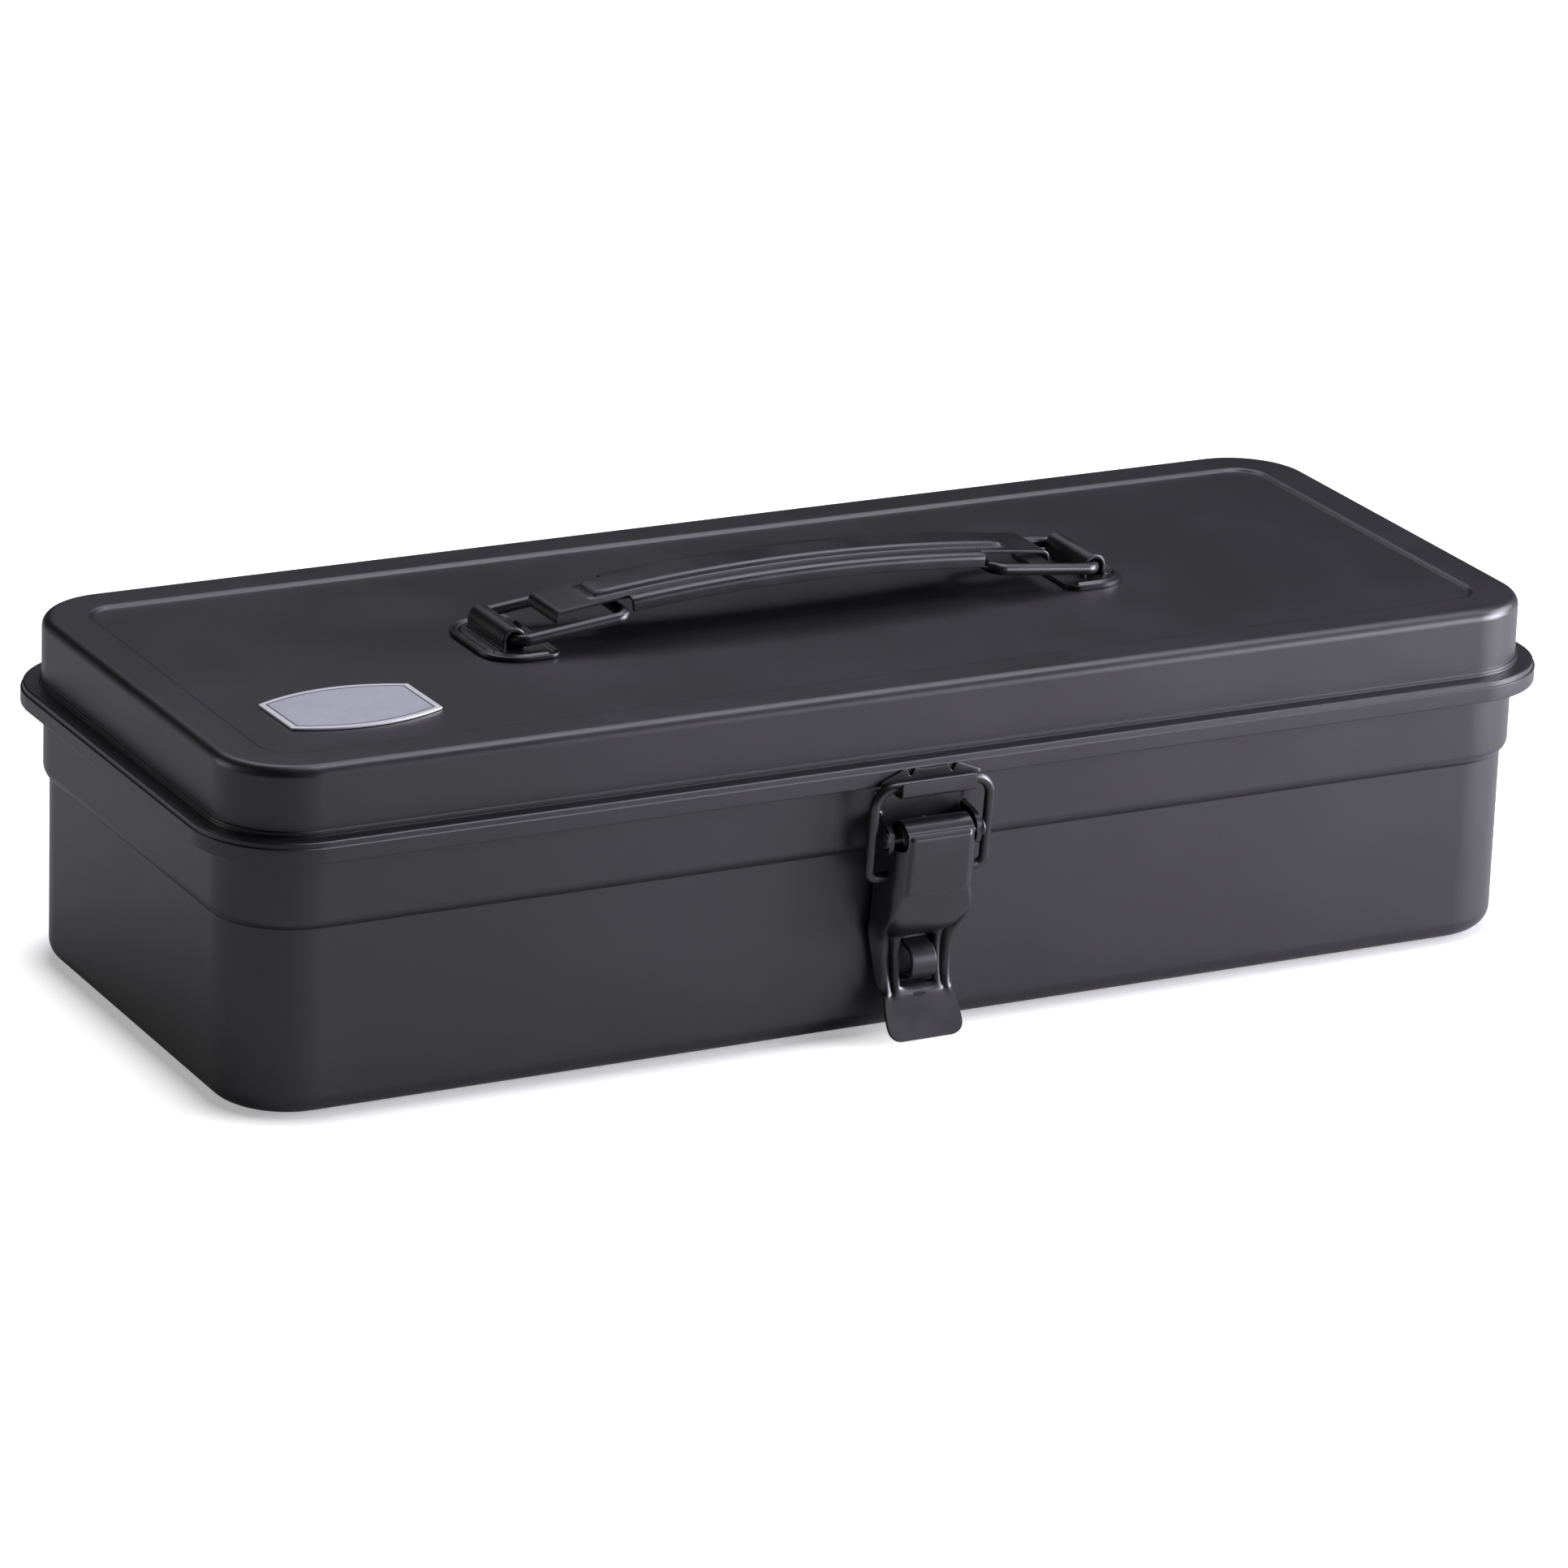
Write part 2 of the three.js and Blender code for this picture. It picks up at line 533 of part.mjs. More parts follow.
/** The drawn tub: a stepped wall with a rounded floor edge and a hem round its rim. */
function makeTub() {
  const ring = (insetEnds, insetFront, radius, z) => ({ halfX: FLANGE_LENGTH / 2 - insetEnds,
    halfY: FLANGE_DEPTH / 2 - insetFront, radius, z });
  const level = (share, inset, z) => ring(BAND_INSET_END + LEDGE_DEPTH_END * share + inset,
    BAND_INSET_FRONT + LEDGE_DEPTH_FRONT * share + inset,
    THREE.MathUtils.lerp(BAND_CORNER, LOWER_CORNER, share) - inset, z);
  const band = (inset, z) => level(0, inset, z);
  const lower = (inset, z) => level(1, inset, z);
  const floorOuter = arc(TUB_EDGE_RADIUS, TUB_EDGE_RADIUS, TUB_EDGE_RADIUS, 270, 180)
    .map(([inset, z]) => lower(inset, z));
  const floorInner = arc(TUB_EDGE_RADIUS, TUB_EDGE_RADIUS, TUB_EDGE_RADIUS - BOX_SHEET, 180, 270)
    .map(([inset, z]) => lower(inset, z));
  const ledge = arc(0, 0, 1, 90, 0, 3).map(([kept, dropped]) => level(1 - kept, 0,
    LEDGE_HEIGHT + LEDGE_ROUND * (1 - dropped)));
  const hemBottom = TUB_HEIGHT - HEM_HEIGHT;
  const rings = [
    ...floorOuter,
    ...ledge,
    band(0, hemBottom),
    band(-HEM_WIDTH, hemBottom + HEM_BEVEL),
    band(-HEM_WIDTH, TUB_HEIGHT - HEM_BEVEL),
    band(HEM_BEVEL - HEM_WIDTH, TUB_HEIGHT),
    band(BOX_SHEET, TUB_HEIGHT),
    band(BOX_SHEET, LEDGE_HEIGHT + LEDGE_ROUND + BOX_SHEET),
    lower(BOX_SHEET, LEDGE_HEIGHT + BOX_SHEET),
    ...floorInner,
  ];
  const shell = solid(loft(rings.map(roundedRing)));
  const drills = baseRivets.map(([, x, z]) => rivetDrill(x, frontWallY(z), z));
  for (const [, centre] of hingeCentres) {
    for (const [, offset] of hingeRivetSides) {
      drills.push(rivetDrill(centre + offset, BAND_BACK_Y, HINGE_BODY_RIVET_HEIGHT));
    }
  }
  return cut(shell, ...drills);
}

/** The drawn lid: sunken top panel, rounded edges, flat flange and a lip that closes over the tub's rim. */
function makeLid() {
  const ring = (inset, z) => ({ halfX: FLANGE_LENGTH / 2 - inset, halfY: FLANGE_DEPTH / 2 - inset,
    radius: FLANGE_CORNER - inset, z });
  const edgeInset = LID_WALL_INSET + LID_EDGE_RADIUS;
  const edgeHeight = LID_TOP - LID_EDGE_RADIUS;
  const borderInset = PANEL_INSET - PANEL_SLOPE;
  const outer = [
    [borderInset + PANEL_SLOPE, PANEL_TOP],
    [borderInset, LID_TOP],
    ...arc(edgeInset, edgeHeight, LID_EDGE_RADIUS, 90, 180),
    ...arc(LID_WALL_INSET - LID_FOOT_RADIUS, FLANGE_TOP + LID_FOOT_RADIUS, LID_FOOT_RADIUS, 0, -90, 3),
    ...arc(FLANGE_EDGE_RADIUS, FLANGE_TOP - FLANGE_EDGE_RADIUS, FLANGE_EDGE_RADIUS, 90, 180, 3),
    [0, LIP_BOTTOM],
  ];
  const inner = [
    [BOX_SHEET, LIP_BOTTOM],
    [BOX_SHEET, FLANGE_UNDERSIDE],
    [LID_WALL_INSET + BOX_SHEET, FLANGE_UNDERSIDE],
    ...arc(edgeInset, edgeHeight, LID_EDGE_RADIUS - BOX_SHEET, 180, 90, 3),
    [borderInset, LID_TOP - BOX_SHEET],
    [borderInset + PANEL_SLOPE, PANEL_TOP - BOX_SHEET],
  ];
  const shell = solid(loft([...outer, ...inner].map(([inset, z]) => roundedRing(ring(inset, z)))));
  const drills = hingeCentres.flatMap(([, centre]) => hingeRivetSides.map(([, offset]) => rivetDrill(
    centre + offset, LID_BACK_Y, HINGE_LID_RIVET_HEIGHT)));
  return cut(shell, ...drills);
}

/** The label: a thin plate whose long edges bow outwards. */
function makeLabel() {
  const halfX = LABEL_LENGTH / 2;
  const halfY = LABEL_WIDTH / 2;
  const shape = new THREE.Shape();
  shape.moveTo(-halfX, -halfY);
  shape.quadraticCurveTo(0, -halfY - 2 * LABEL_BOW, halfX, -halfY);
  shape.lineTo(halfX, halfY);
  shape.quadraticCurveTo(0, halfY + 2 * LABEL_BOW, -halfX, halfY);
  shape.lineTo(-halfX, -halfY);
  return extrudeZ(shape, 0, LABEL_THICKNESS);
}

/** A handle bracket round its knuckle: plate, raised rim and the rolled strap that holds the ring. */
function makeBracket() {
  const halfY = BRACKET_WIDTH / 2;
  const plateOutline = (inset) => outline([
    ...arc(BRACKET_OUTER_REACH - BRACKET_OUTER_CORNER, halfY - BRACKET_OUTER_CORNER,
      BRACKET_OUTER_CORNER - inset, 0, 90, 6),
    ...arc(BRACKET_INNER_CORNER - BRACKET_INNER_REACH, halfY - BRACKET_INNER_CORNER,
      BRACKET_INNER_CORNER - inset, 90, 180, 3),
    ...arc(BRACKET_INNER_CORNER - BRACKET_INNER_REACH, BRACKET_INNER_CORNER - halfY,
      BRACKET_INNER_CORNER - inset, 180, 270, 3),
    ...arc(BRACKET_OUTER_REACH - BRACKET_OUTER_CORNER, BRACKET_OUTER_CORNER - halfY,
      BRACKET_OUTER_CORNER - inset, 270, 360, 6),
  ]);
  const plate = solid(extrudeZ(plateOutline(0), 0, BRACKET_SHEET));
  const rimTop = BRACKET_SHEET + BRACKET_RIM_HEIGHT;
  const rimBlank = solid(extrudeZ(plateOutline(0), 0, rimTop));
  const rimHollow = solid(extrudeZ(plateOutline(BRACKET_RIM_WIDTH), -CUT_OVERRUN, rimTop + CUT_OVERRUN));
  const rimOpening = block(-BRACKET_INNER_REACH - CUT_OVERRUN, -BRACKET_INNER_REACH / 2, -halfY - CUT_OVERRUN,
    halfY + CUT_OVERRUN, -CUT_OVERRUN, rimTop + CUT_OVERRUN);
  const rim = cut(rimBlank, rimHollow, rimOpening);
  const inside = RING_WIRE / 2 + KNUCKLE_PLAY;
  const outside = inside + KNUCKLE_SHEET;
  const rise = KNUCKLE_RISE;
  const foot = BRACKET_SHEET / 2;
  const strap = solid(extrudeY(outline([
    [-outside, foot],
    [-inside, foot],
    ...arc(0, rise, inside, 180, 0, 8),
    [inside, foot],
    [outside, foot],
    ...arc(0, rise, outside, 0, 180, 8),
  ]), -KNUCKLE_LENGTH / 2, KNUCKLE_LENGTH / 2));
  return join(plate, rim, strap);
}

/** A handle ring: one bent wire whose two ends meet in the middle of its inner bar. */
function makeRing() {
  const halfSpan = RING_SPAN / 2;
  const route = [
    new THREE.Vector3(-RING_BAR_SPACING, RING_BUTT_GAP / 2, 0),
    new THREE.Vector3(-RING_BAR_SPACING, halfSpan, 0),
    new THREE.Vector3(0, halfSpan, 0),
    new THREE.Vector3(0, -halfSpan, 0),
    new THREE.Vector3(-RING_BAR_SPACING, -halfSpan, 0),
    new THREE.Vector3(-RING_BAR_SPACING, -RING_BUTT_GAP / 2, 0),
  ];
  const radii = [RING_CORNER, RING_CORNER, RING_CORNER, RING_CORNER];
  return wire(route, radii, RING_WIRE, new THREE.Vector3(0, 0, 1));
}

/** How far the arch of the grip has dropped at a distance from its middle. */
function archDrop(x) {
  return x * x / (2 * GRIP_ARCH_RADIUS);
}

/** Bends a straight piece along X to the arch of the grip. */
function bendToArch(geometry) {
  const { array } = geometry.attributes.position;
  for (let i = 0; i < array.length; i += 3) array[i + 2] -= archDrop(array[i]);
  return geometry;
}

/** The grip: an arched channel with a raised rib, and a narrow tongue with a hooked end over each ring. */
function makeGrip() {
  const halfY = GRIP_WIDTH / 2;
  const bottom = GRIP_TOP - GRIP_HEIGHT;
  const innerRadius = GRIP_EDGE_RADIUS - GRIP_SHEET;
  const cornerY = halfY - GRIP_EDGE_RADIUS;
  const cornerZ = GRIP_TOP - GRIP_EDGE_RADIUS;
  const section = outline([
    [-halfY, bottom],
    [GRIP_SHEET - halfY, bottom],
    ...arc(-cornerY, cornerZ, innerRadius, 180, 90, 2),
    ...arc(cornerY, cornerZ, innerRadius, 90, 0, 2),
    [halfY - GRIP_SHEET, bottom],
    [halfY, bottom],
    ...arc(cornerY, cornerZ, GRIP_EDGE_RADIUS, 0, 90, 3),
    ...arc(-cornerY, cornerZ, GRIP_EDGE_RADIUS, 90, 180, 3),
  ]);
  const channel = solid(bendToArch(extrudeX(section, -FLANGE_END_X, FLANGE_END_X, GRIP_STEPS)));
  const ribEnd = TONGUE_END_X - RIB_END_MARGIN;
  const ribBase = GRIP_TOP - GRIP_SHEET / 2;
  const ribSection = outline([
    [-RIB_WIDTH / 2, ribBase],
    [RIB_WIDTH / 2, ribBase],
    [RIB_WIDTH / 2, GRIP_TOP],
    [RIB_WIDTH / 2 - RIB_SLOPE, GRIP_TOP + RIB_HEIGHT],
    [RIB_SLOPE - RIB_WIDTH / 2, GRIP_TOP + RIB_HEIGHT],
    [-RIB_WIDTH / 2, GRIP_TOP],
  ]);
  const rib = solid(bendToArch(extrudeX(ribSection, -ribEnd, ribEnd, GRIP_STEPS)));
  const tongues = [-1, 1].map((side) => {
    const middle = GRIP_TOP - GRIP_SHEET / 2;
    const reachesX = [FLANGE_END_X - CUT_OVERRUN, RING_INNER_BAR_X + TONGUE_REACH / 3,
      RING_INNER_BAR_X + TONGUE_REACH * 2 / 3, TONGUE_END_X - TONGUE_HOOK_FLAT];
    const end = middle - archDrop(TONGUE_END_X);
    const points = [...reachesX.map((x) => [x, middle - archDrop(x)]),
      [TONGUE_END_X - GRIP_SHEET / 2, end - TONGUE_HOOK_FLAT],
      [TONGUE_END_X - GRIP_SHEET / 2, end - TONGUE_HOOK]];
    const profile = bentSheet(points.map(([x, z]) => [side * x, z]), GRIP_SHEET);
    return solid(extrudeY(profile, -TONGUE_WIDTH / 2, TONGUE_WIDTH / 2));
  });
  return join(channel, rib, ...tongues);
}

/** The latch base: a joggled plate on the front of the tub with two ears for the lever's pin. */
function makeLatchBase() {
  const bandFace = BASE_UPPER_FRONT_Y + BASE_SHEET / 2;
  const lowerFace = BASE_LOWER_FRONT_Y + BASE_SHEET / 2;
  const joggleTop = LEDGE_HEIGHT - SEAT_GAP;
  const plateTop = LATCH_PIVOT_HEIGHT + BASE_RISE;
  const plateBottom = STAPLE_HEIGHT - STAPLE_RADIUS - STAPLE_FOOT - BASE_FOOT_MARGIN;
  const upperPlate = solid(extrudeX(bentSheet([[bandFace, plateTop], [bandFace, joggleTop]], BASE_SHEET),
    -EAR_OUTER_X, EAR_OUTER_X));
  const lowerPlate = solid(extrudeX(bentSheet([[bandFace, joggleTop + BASE_SHEET],
    [bandFace, joggleTop - BASE_SHEET / 2], [lowerFace, joggleTop - BASE_JOGGLE_HEIGHT],
    [lowerFace, plateBottom]], BASE_SHEET), -BASE_LOWER_WIDTH / 2, BASE_LOWER_WIDTH / 2));
  const plate = join(upperPlate, lowerPlate);
  const noseY = LATCH_PIVOT_Y - EAR_REACH + EAR_NOSE_CORNER;
  const noseRise = EAR_NOSE_HEIGHT / 2 - EAR_NOSE_CORNER;
  const earOutline = outline([
    [bandFace, joggleTop + BASE_SHEET / 2],
    [bandFace, plateTop],
    [BASE_UPPER_FRONT_Y, plateTop],
    [BASE_UPPER_FRONT_Y - EAR_SHOULDER_DEPTH, LATCH_PIVOT_HEIGHT + EAR_SHOULDER_RISE],
    ...arc(noseY, LATCH_PIVOT_HEIGHT + noseRise, EAR_NOSE_CORNER, 90, 180),
    ...arc(noseY, LATCH_PIVOT_HEIGHT - noseRise, EAR_NOSE_CORNER, 180, 270),
  ]);
  const ears = [-1, 1].map((side) => solid(extrudeX(earOutline, side < 0 ? -EAR_OUTER_X : EAR_INNER_X,
    side < 0 ? -EAR_INNER_X : EAR_OUTER_X)));
  const pinHole = solid(extrudeX(disc(LATCH_PIVOT_Y, LATCH_PIVOT_HEIGHT, PIVOT_NECK_RADIUS + SEAT_GAP, 12),
    -EAR_OUTER_X - CUT_OVERRUN, EAR_OUTER_X + CUT_OVERRUN));
  const drills = baseRivets.map(([, x, z]) => rivetDrill(x, frontWallY(z), z));
  return cut(join(plate, ...ears), pinHole, ...drills);
}

/** The padlock staple: a strap rolled to a half round, with two feet on the latch base. */
function makeStaple() {
  const face = BASE_LOWER_FRONT_Y - SEAT_GAP;
  const middleRadius = STAPLE_RADIUS - STAPLE_SHEET / 2;
  const foot = face - STAPLE_SHEET / 2;
  const rollY = foot - STAPLE_SHEET;
  const points = [
    [foot, STAPLE_HEIGHT + STAPLE_RADIUS + STAPLE_FOOT],
    [foot, STAPLE_HEIGHT + STAPLE_RADIUS],
    ...arc(rollY, STAPLE_HEIGHT, middleRadius, 90, 270, 10),
    [foot, STAPLE_HEIGHT - STAPLE_RADIUS],
    [foot, STAPLE_HEIGHT - STAPLE_RADIUS - STAPLE_FOOT],
  ];
  return extrudeX(bentSheet(points, STAPLE_SHEET), -STAPLE_WIDTH / 2, STAPLE_WIDTH / 2);
}

/** The shouldered pin that the lever turns on. */
function makePivotPin() {
  const shoulder = BARREL_WIDTH / 2 - RUN_GAP;
  const headStart = EAR_OUTER_X + SEAT_GAP;
  const headEnd = headStart + PIVOT_HEAD_THICKNESS;
  const geometry = turnedX([
    [-headEnd, 0],
    [-headEnd, PIVOT_HEAD_RADIUS],
    [-headStart, PIVOT_HEAD_RADIUS],
    [-headStart, PIVOT_NECK_RADIUS],
    [-shoulder, PIVOT_NECK_RADIUS],
    [-shoulder, PIVOT_PIN_RADIUS],
    [shoulder, PIVOT_PIN_RADIUS],
    [shoulder, PIVOT_NECK_RADIUS],
    [headStart, PIVOT_NECK_RADIUS],
    [headStart, PIVOT_HEAD_RADIUS],
    [headEnd, PIVOT_HEAD_RADIUS],
    [headEnd, 0],
  ]);
  return geometry.translate(0, LATCH_PIVOT_Y, LATCH_PIVOT_HEIGHT);
}

/** The lever: a plate rolled round the pin, with side walls, a windowed neck and a flared finger tab. */
function makeLever() {
  const half = LEVER_SHEET / 2;
  const barrelMiddle = BARREL_RADIUS - half;
  const down = (drop) => LATCH_PIVOT_HEIGHT - drop;
  const out = (proud) => LATCH_PIVOT_Y - proud + half;
  const faceY = LATCH_PIVOT_Y - barrelMiddle;
  const neckY = LOWER_FRONT_Y - LEVER_NECK_STANDOFF + half;
  const elbowY = neckY - LEVER_NECK_LEAN;
  const neckTop = WINDOW_TOP - LEVER_SHEET;
  const elbowZ = WINDOW_BOTTOM - WINDOW_EDGE_DROP;
  const bottom = elbowZ - LEVER_TAB_LENGTH;
  const belt = [out(LEVER_BELT_PROUD), down(LEVER_BELT_DROP)];
  const belly = [out(LEVER_BELLY_PROUD), down(LEVER_BELLY_DROP)];
  const neck = [neckY, neckTop];
  const throat = [THREE.MathUtils.lerp(belly[0], neckY, LEVER_THROAT_SHARES[0]),
    THREE.MathUtils.lerp(belly[1], neckTop, LEVER_THROAT_SHARES[1])];
  const path = [
    ...arc(LATCH_PIVOT_Y, LATCH_PIVOT_HEIGHT, barrelMiddle, BARREL_WRAP_START, BARREL_WRAP_END, BARREL_STEPS),
    belt,
    belly,
    throat,
    neck,
    [elbowY, elbowZ],
    [elbowY - LEVER_TAB_KICK, bottom + half / 2],
  ];
  const blank = solid(extrudeX(bentSheet(path, LEVER_SHEET), -LEVER_BELLY_WIDTH / 2, LEVER_BELLY_WIDTH / 2));
  const wideX = LEVER_WIDTH / 2;
  const bellyX = LEVER_BELLY_WIDTH / 2;
  const barrelX = BARREL_WIDTH / 2;
  const neckX = LEVER_NECK_WIDTH / 2;
  const tabX = LEVER_TAB_WIDTH / 2;
  const top = LATCH_PIVOT_HEIGHT + BARREL_RADIUS + CUT_OVERRUN;
  const shoulderZ = down(LEVER_SHOULDER_DROP);
  const mirrored = (edge) => [...edge, ...edge.map(([x, z]) => [-x, z]).reverse()];
  const front = outline([
    ...arc(LEVER_TAB_CORNER - tabX, bottom + LEVER_TAB_CORNER, LEVER_TAB_CORNER, 180, 270, 4),
    ...arc(tabX - LEVER_TAB_CORNER, bottom + LEVER_TAB_CORNER, LEVER_TAB_CORNER, 270, 360, 4),
    ...mirrored([
      [tabX, elbowZ - LEVER_TAB_SHOULDER - LEVER_TAB_CORNER / 2],
      [neckX, elbowZ - LEVER_TAB_SHOULDER],
      [neckX, neckTop],
      [bellyX, belly[1]],
      [wideX, down(LEVER_FLARE_DROP)],
      [wideX, shoulderZ],
      [barrelX, shoulderZ],
      [barrelX, top],
    ]),
  ]);
  const frontY = elbowY - LEVER_TAB_KICK - LEVER_SHEET - BARREL_RADIUS;
  const depth = solid(extrudeY(front, frontY, LOWER_FRONT_Y));
  const sideEdge = [
    [neckX, bottom],
    [neckX, neckTop],
    [bellyX, belly[1]],
    [wideX, down(LEVER_FLARE_DROP)],
    [wideX, top],
  ];
  const outerDepth = solid(extrudeY(outline(mirrored(sideEdge)), frontY, LOWER_FRONT_Y));
  const innerDepth = solid(extrudeY(outline(mirrored(sideEdge.map(([x, z]) => [x - LEVER_WALL, z]))),
    frontY - CUT_OVERRUN, LOWER_FRONT_Y + CUT_OVERRUN));
  const plate = blank.intersect(depth);
  const wallBackY = BASE_LOWER_FRONT_Y - RUN_GAP;
  const wallEdgeY = neckY - LEVER_WALL_DEPTH;
  const wallOutline = outline([
    [BASE_UPPER_FRONT_Y - LEVER_WALL_CLEARANCE, LATCH_PIVOT_HEIGHT - BARREL_RADIUS + RUN_GAP],
    [faceY + LEVER_SHEET, shoulderZ],
    [faceY, shoulderZ],
    belt,
    belly,
    [THREE.MathUtils.lerp(belly[0], wallEdgeY, LEVER_WALL_SHARES[0]),
      THREE.MathUtils.lerp(belly[1], neckTop, LEVER_WALL_SHARES[1])],
    [wallEdgeY, neckTop - LEVER_SHEET],
    [wallEdgeY, elbowZ + LEVER_SHEET * 2],
    [elbowY - LEVER_SHEET, elbowZ - LEVER_SHEET],
    [elbowY, elbowZ + LEVER_SHEET],
    [wallBackY, neckTop - LEVER_SHEET * 3],
    [wallBackY, LEDGE_HEIGHT - BASE_JOGGLE_HEIGHT - LEVER_WALL_FOOT_DROP],
  ]);
  const wallBlank = solid(extrudeX(wallOutline, -bellyX - CUT_OVERRUN, bellyX + CUT_OVERRUN));
  const walls = cut(wallBlank.intersect(outerDepth), innerDepth);
  const railX = WINDOW_WIDTH / 2 + INNER_RAIL_WIDTH;
  const railOutline = outline([
    [neckY - half - INNER_RAIL_RISE, neckTop - LEVER_SHEET],
    neck,
    [elbowY, elbowZ],
    [elbowY - half - INNER_RAIL_RISE / 2, elbowZ + LEVER_SHEET],
  ]);
  const rails = [[-railX, -WINDOW_WIDTH / 2], [WINDOW_WIDTH / 2, railX]].map(([x0, x1]) => solid(
    extrudeX(railOutline, x0, x1)));
  const pad = solid(extrudeX(bentSheet([[faceY - half, LATCH_PIVOT_HEIGHT + PAD_TOP_RISE],
    [belt[0] - half, down(PAD_BOTTOM_DROP)]], PAD_RISE * 2), -PAD_WIDTH / 2, PAD_WIDTH / 2));
  const windowCut = block(-WINDOW_WIDTH / 2, WINDOW_WIDTH / 2, frontY, LOWER_FRONT_Y,
    WINDOW_BOTTOM, WINDOW_TOP);
  const slotTop = WINDOW_BOTTOM - TAB_SLOT_DROP;
  const slotCut = block(-TAB_SLOT_WIDTH / 2, TAB_SLOT_WIDTH / 2, frontY, LOWER_FRONT_Y,
    slotTop - TAB_SLOT_HEIGHT, slotTop);
  const bailHole = solid(extrudeX(disc(BAIL_PIVOT_Y, BAIL_PIVOT_HEIGHT, BAIL_WIRE / 2 + RUN_GAP, 12),
    -wideX - CUT_OVERRUN, wideX + CUT_OVERRUN));
  return cut(join(plate, walls, ...rails, pad), windowCut, slotCut, bailHole);
}

/** The bail: a wire loop whose feet turn into the lever's side walls and whose bar sits in the keeper. */
function makeBail() {
  const foot = new THREE.Vector3(0, BAIL_PIVOT_Y, BAIL_PIVOT_HEIGHT);
  const bar = new THREE.Vector3(0, BAIL_BAR_Y, BAIL_BAR_HEIGHT);
  const up = bar.clone().sub(foot).normalize();
  const normal = new THREE.Vector3(1, 0, 0).cross(up).normalize();
  const endX = LEVER_WIDTH / 2 - LEVER_WALL - BAIL_END_OVERLAP;
  const at = (x, base) => new THREE.Vector3(x, base.y, base.z);
  const halfSpan = BAIL_SPAN / 2;
  const route = [at(-endX, foot), at(-halfSpan, foot), at(-halfSpan, bar), at(halfSpan, bar),
    at(halfSpan, foot), at(endX, foot)];
  const corners = [BAIL_FOOT_CORNER, BAIL_TOP_CORNER, BAIL_TOP_CORNER, BAIL_FOOT_CORNER];
  return wire(route, corners, BAIL_WIRE, normal);
}

/** The keeper: a notched plate on the lip of the lid that turns up into a hook for the bail. */
function makeKeeper() {
  const backMiddle = KEEPER_FRONT_Y + KEEPER_SHEET / 2;
  const keeperTop = FLANGE_TOP - KEEPER_TOP_DROP;
  const hookMiddle = KEEPER_HOOK_INNER_Y - KEEPER_SHEET / 2;
  const floorMiddle = KEEPER_FLOOR - KEEPER_SHEET / 2;
  const round = (backMiddle - hookMiddle) / 4;
  const profile = bentSheet([
    [backMiddle, keeperTop],
    [backMiddle, floorMiddle + round],
    [backMiddle - round, floorMiddle],
    [hookMiddle + round, floorMiddle],
    [hookMiddle, floorMiddle + round],
    [hookMiddle, KEEPER_FLOOR + KEEPER_HOOK_HEIGHT],
  ], KEEPER_SHEET);
  const blank = solid(extrudeX(profile, -KEEPER_WIDTH / 2, KEEPER_WIDTH / 2));
  const trims = [-1, 1].map((side) => block(Math.min(side * KEEPER_HOOK_WIDTH, side * KEEPER_WIDTH) / 2
    - (side < 0 ? CUT_OVERRUN : 0), Math.max(side * KEEPER_HOOK_WIDTH, side * KEEPER_WIDTH) / 2
    + (side < 0 ? 0 : CUT_OVERRUN), hookMiddle - CUT_OVERRUN, backMiddle - KEEPER_SHEET / 2,
  floorMiddle - CUT_OVERRUN, keeperTop));
  const notches = [-1, 1].map((side) => {
    const centre = side * KEEPER_NOTCH_SPACING / 2;
    return block(centre - KEEPER_NOTCH_WIDTH / 2, centre + KEEPER_NOTCH_WIDTH / 2, backMiddle - CUT_OVERRUN,
      backMiddle + CUT_OVERRUN, keeperTop - KEEPER_NOTCH_DEPTH, keeperTop + CUT_OVERRUN);
  });
  return cut(blank, ...trims, ...notches);
}

/** A tube section for a hinge knuckle, round the hinge axis. */
function knuckle(x0, x1) {
  const tube = solid(extrudeX(disc(HINGE_Y, HINGE_HEIGHT, HINGE_BARREL_RADIUS), x0, x1));
  const bore = solid(extrudeX(disc(HINGE_Y, HINGE_HEIGHT, HINGE_PIN_RADIUS + RUN_GAP, 12), x0 - CUT_OVERRUN,
    x1 + CUT_OVERRUN));
  return { tube, bore };
}

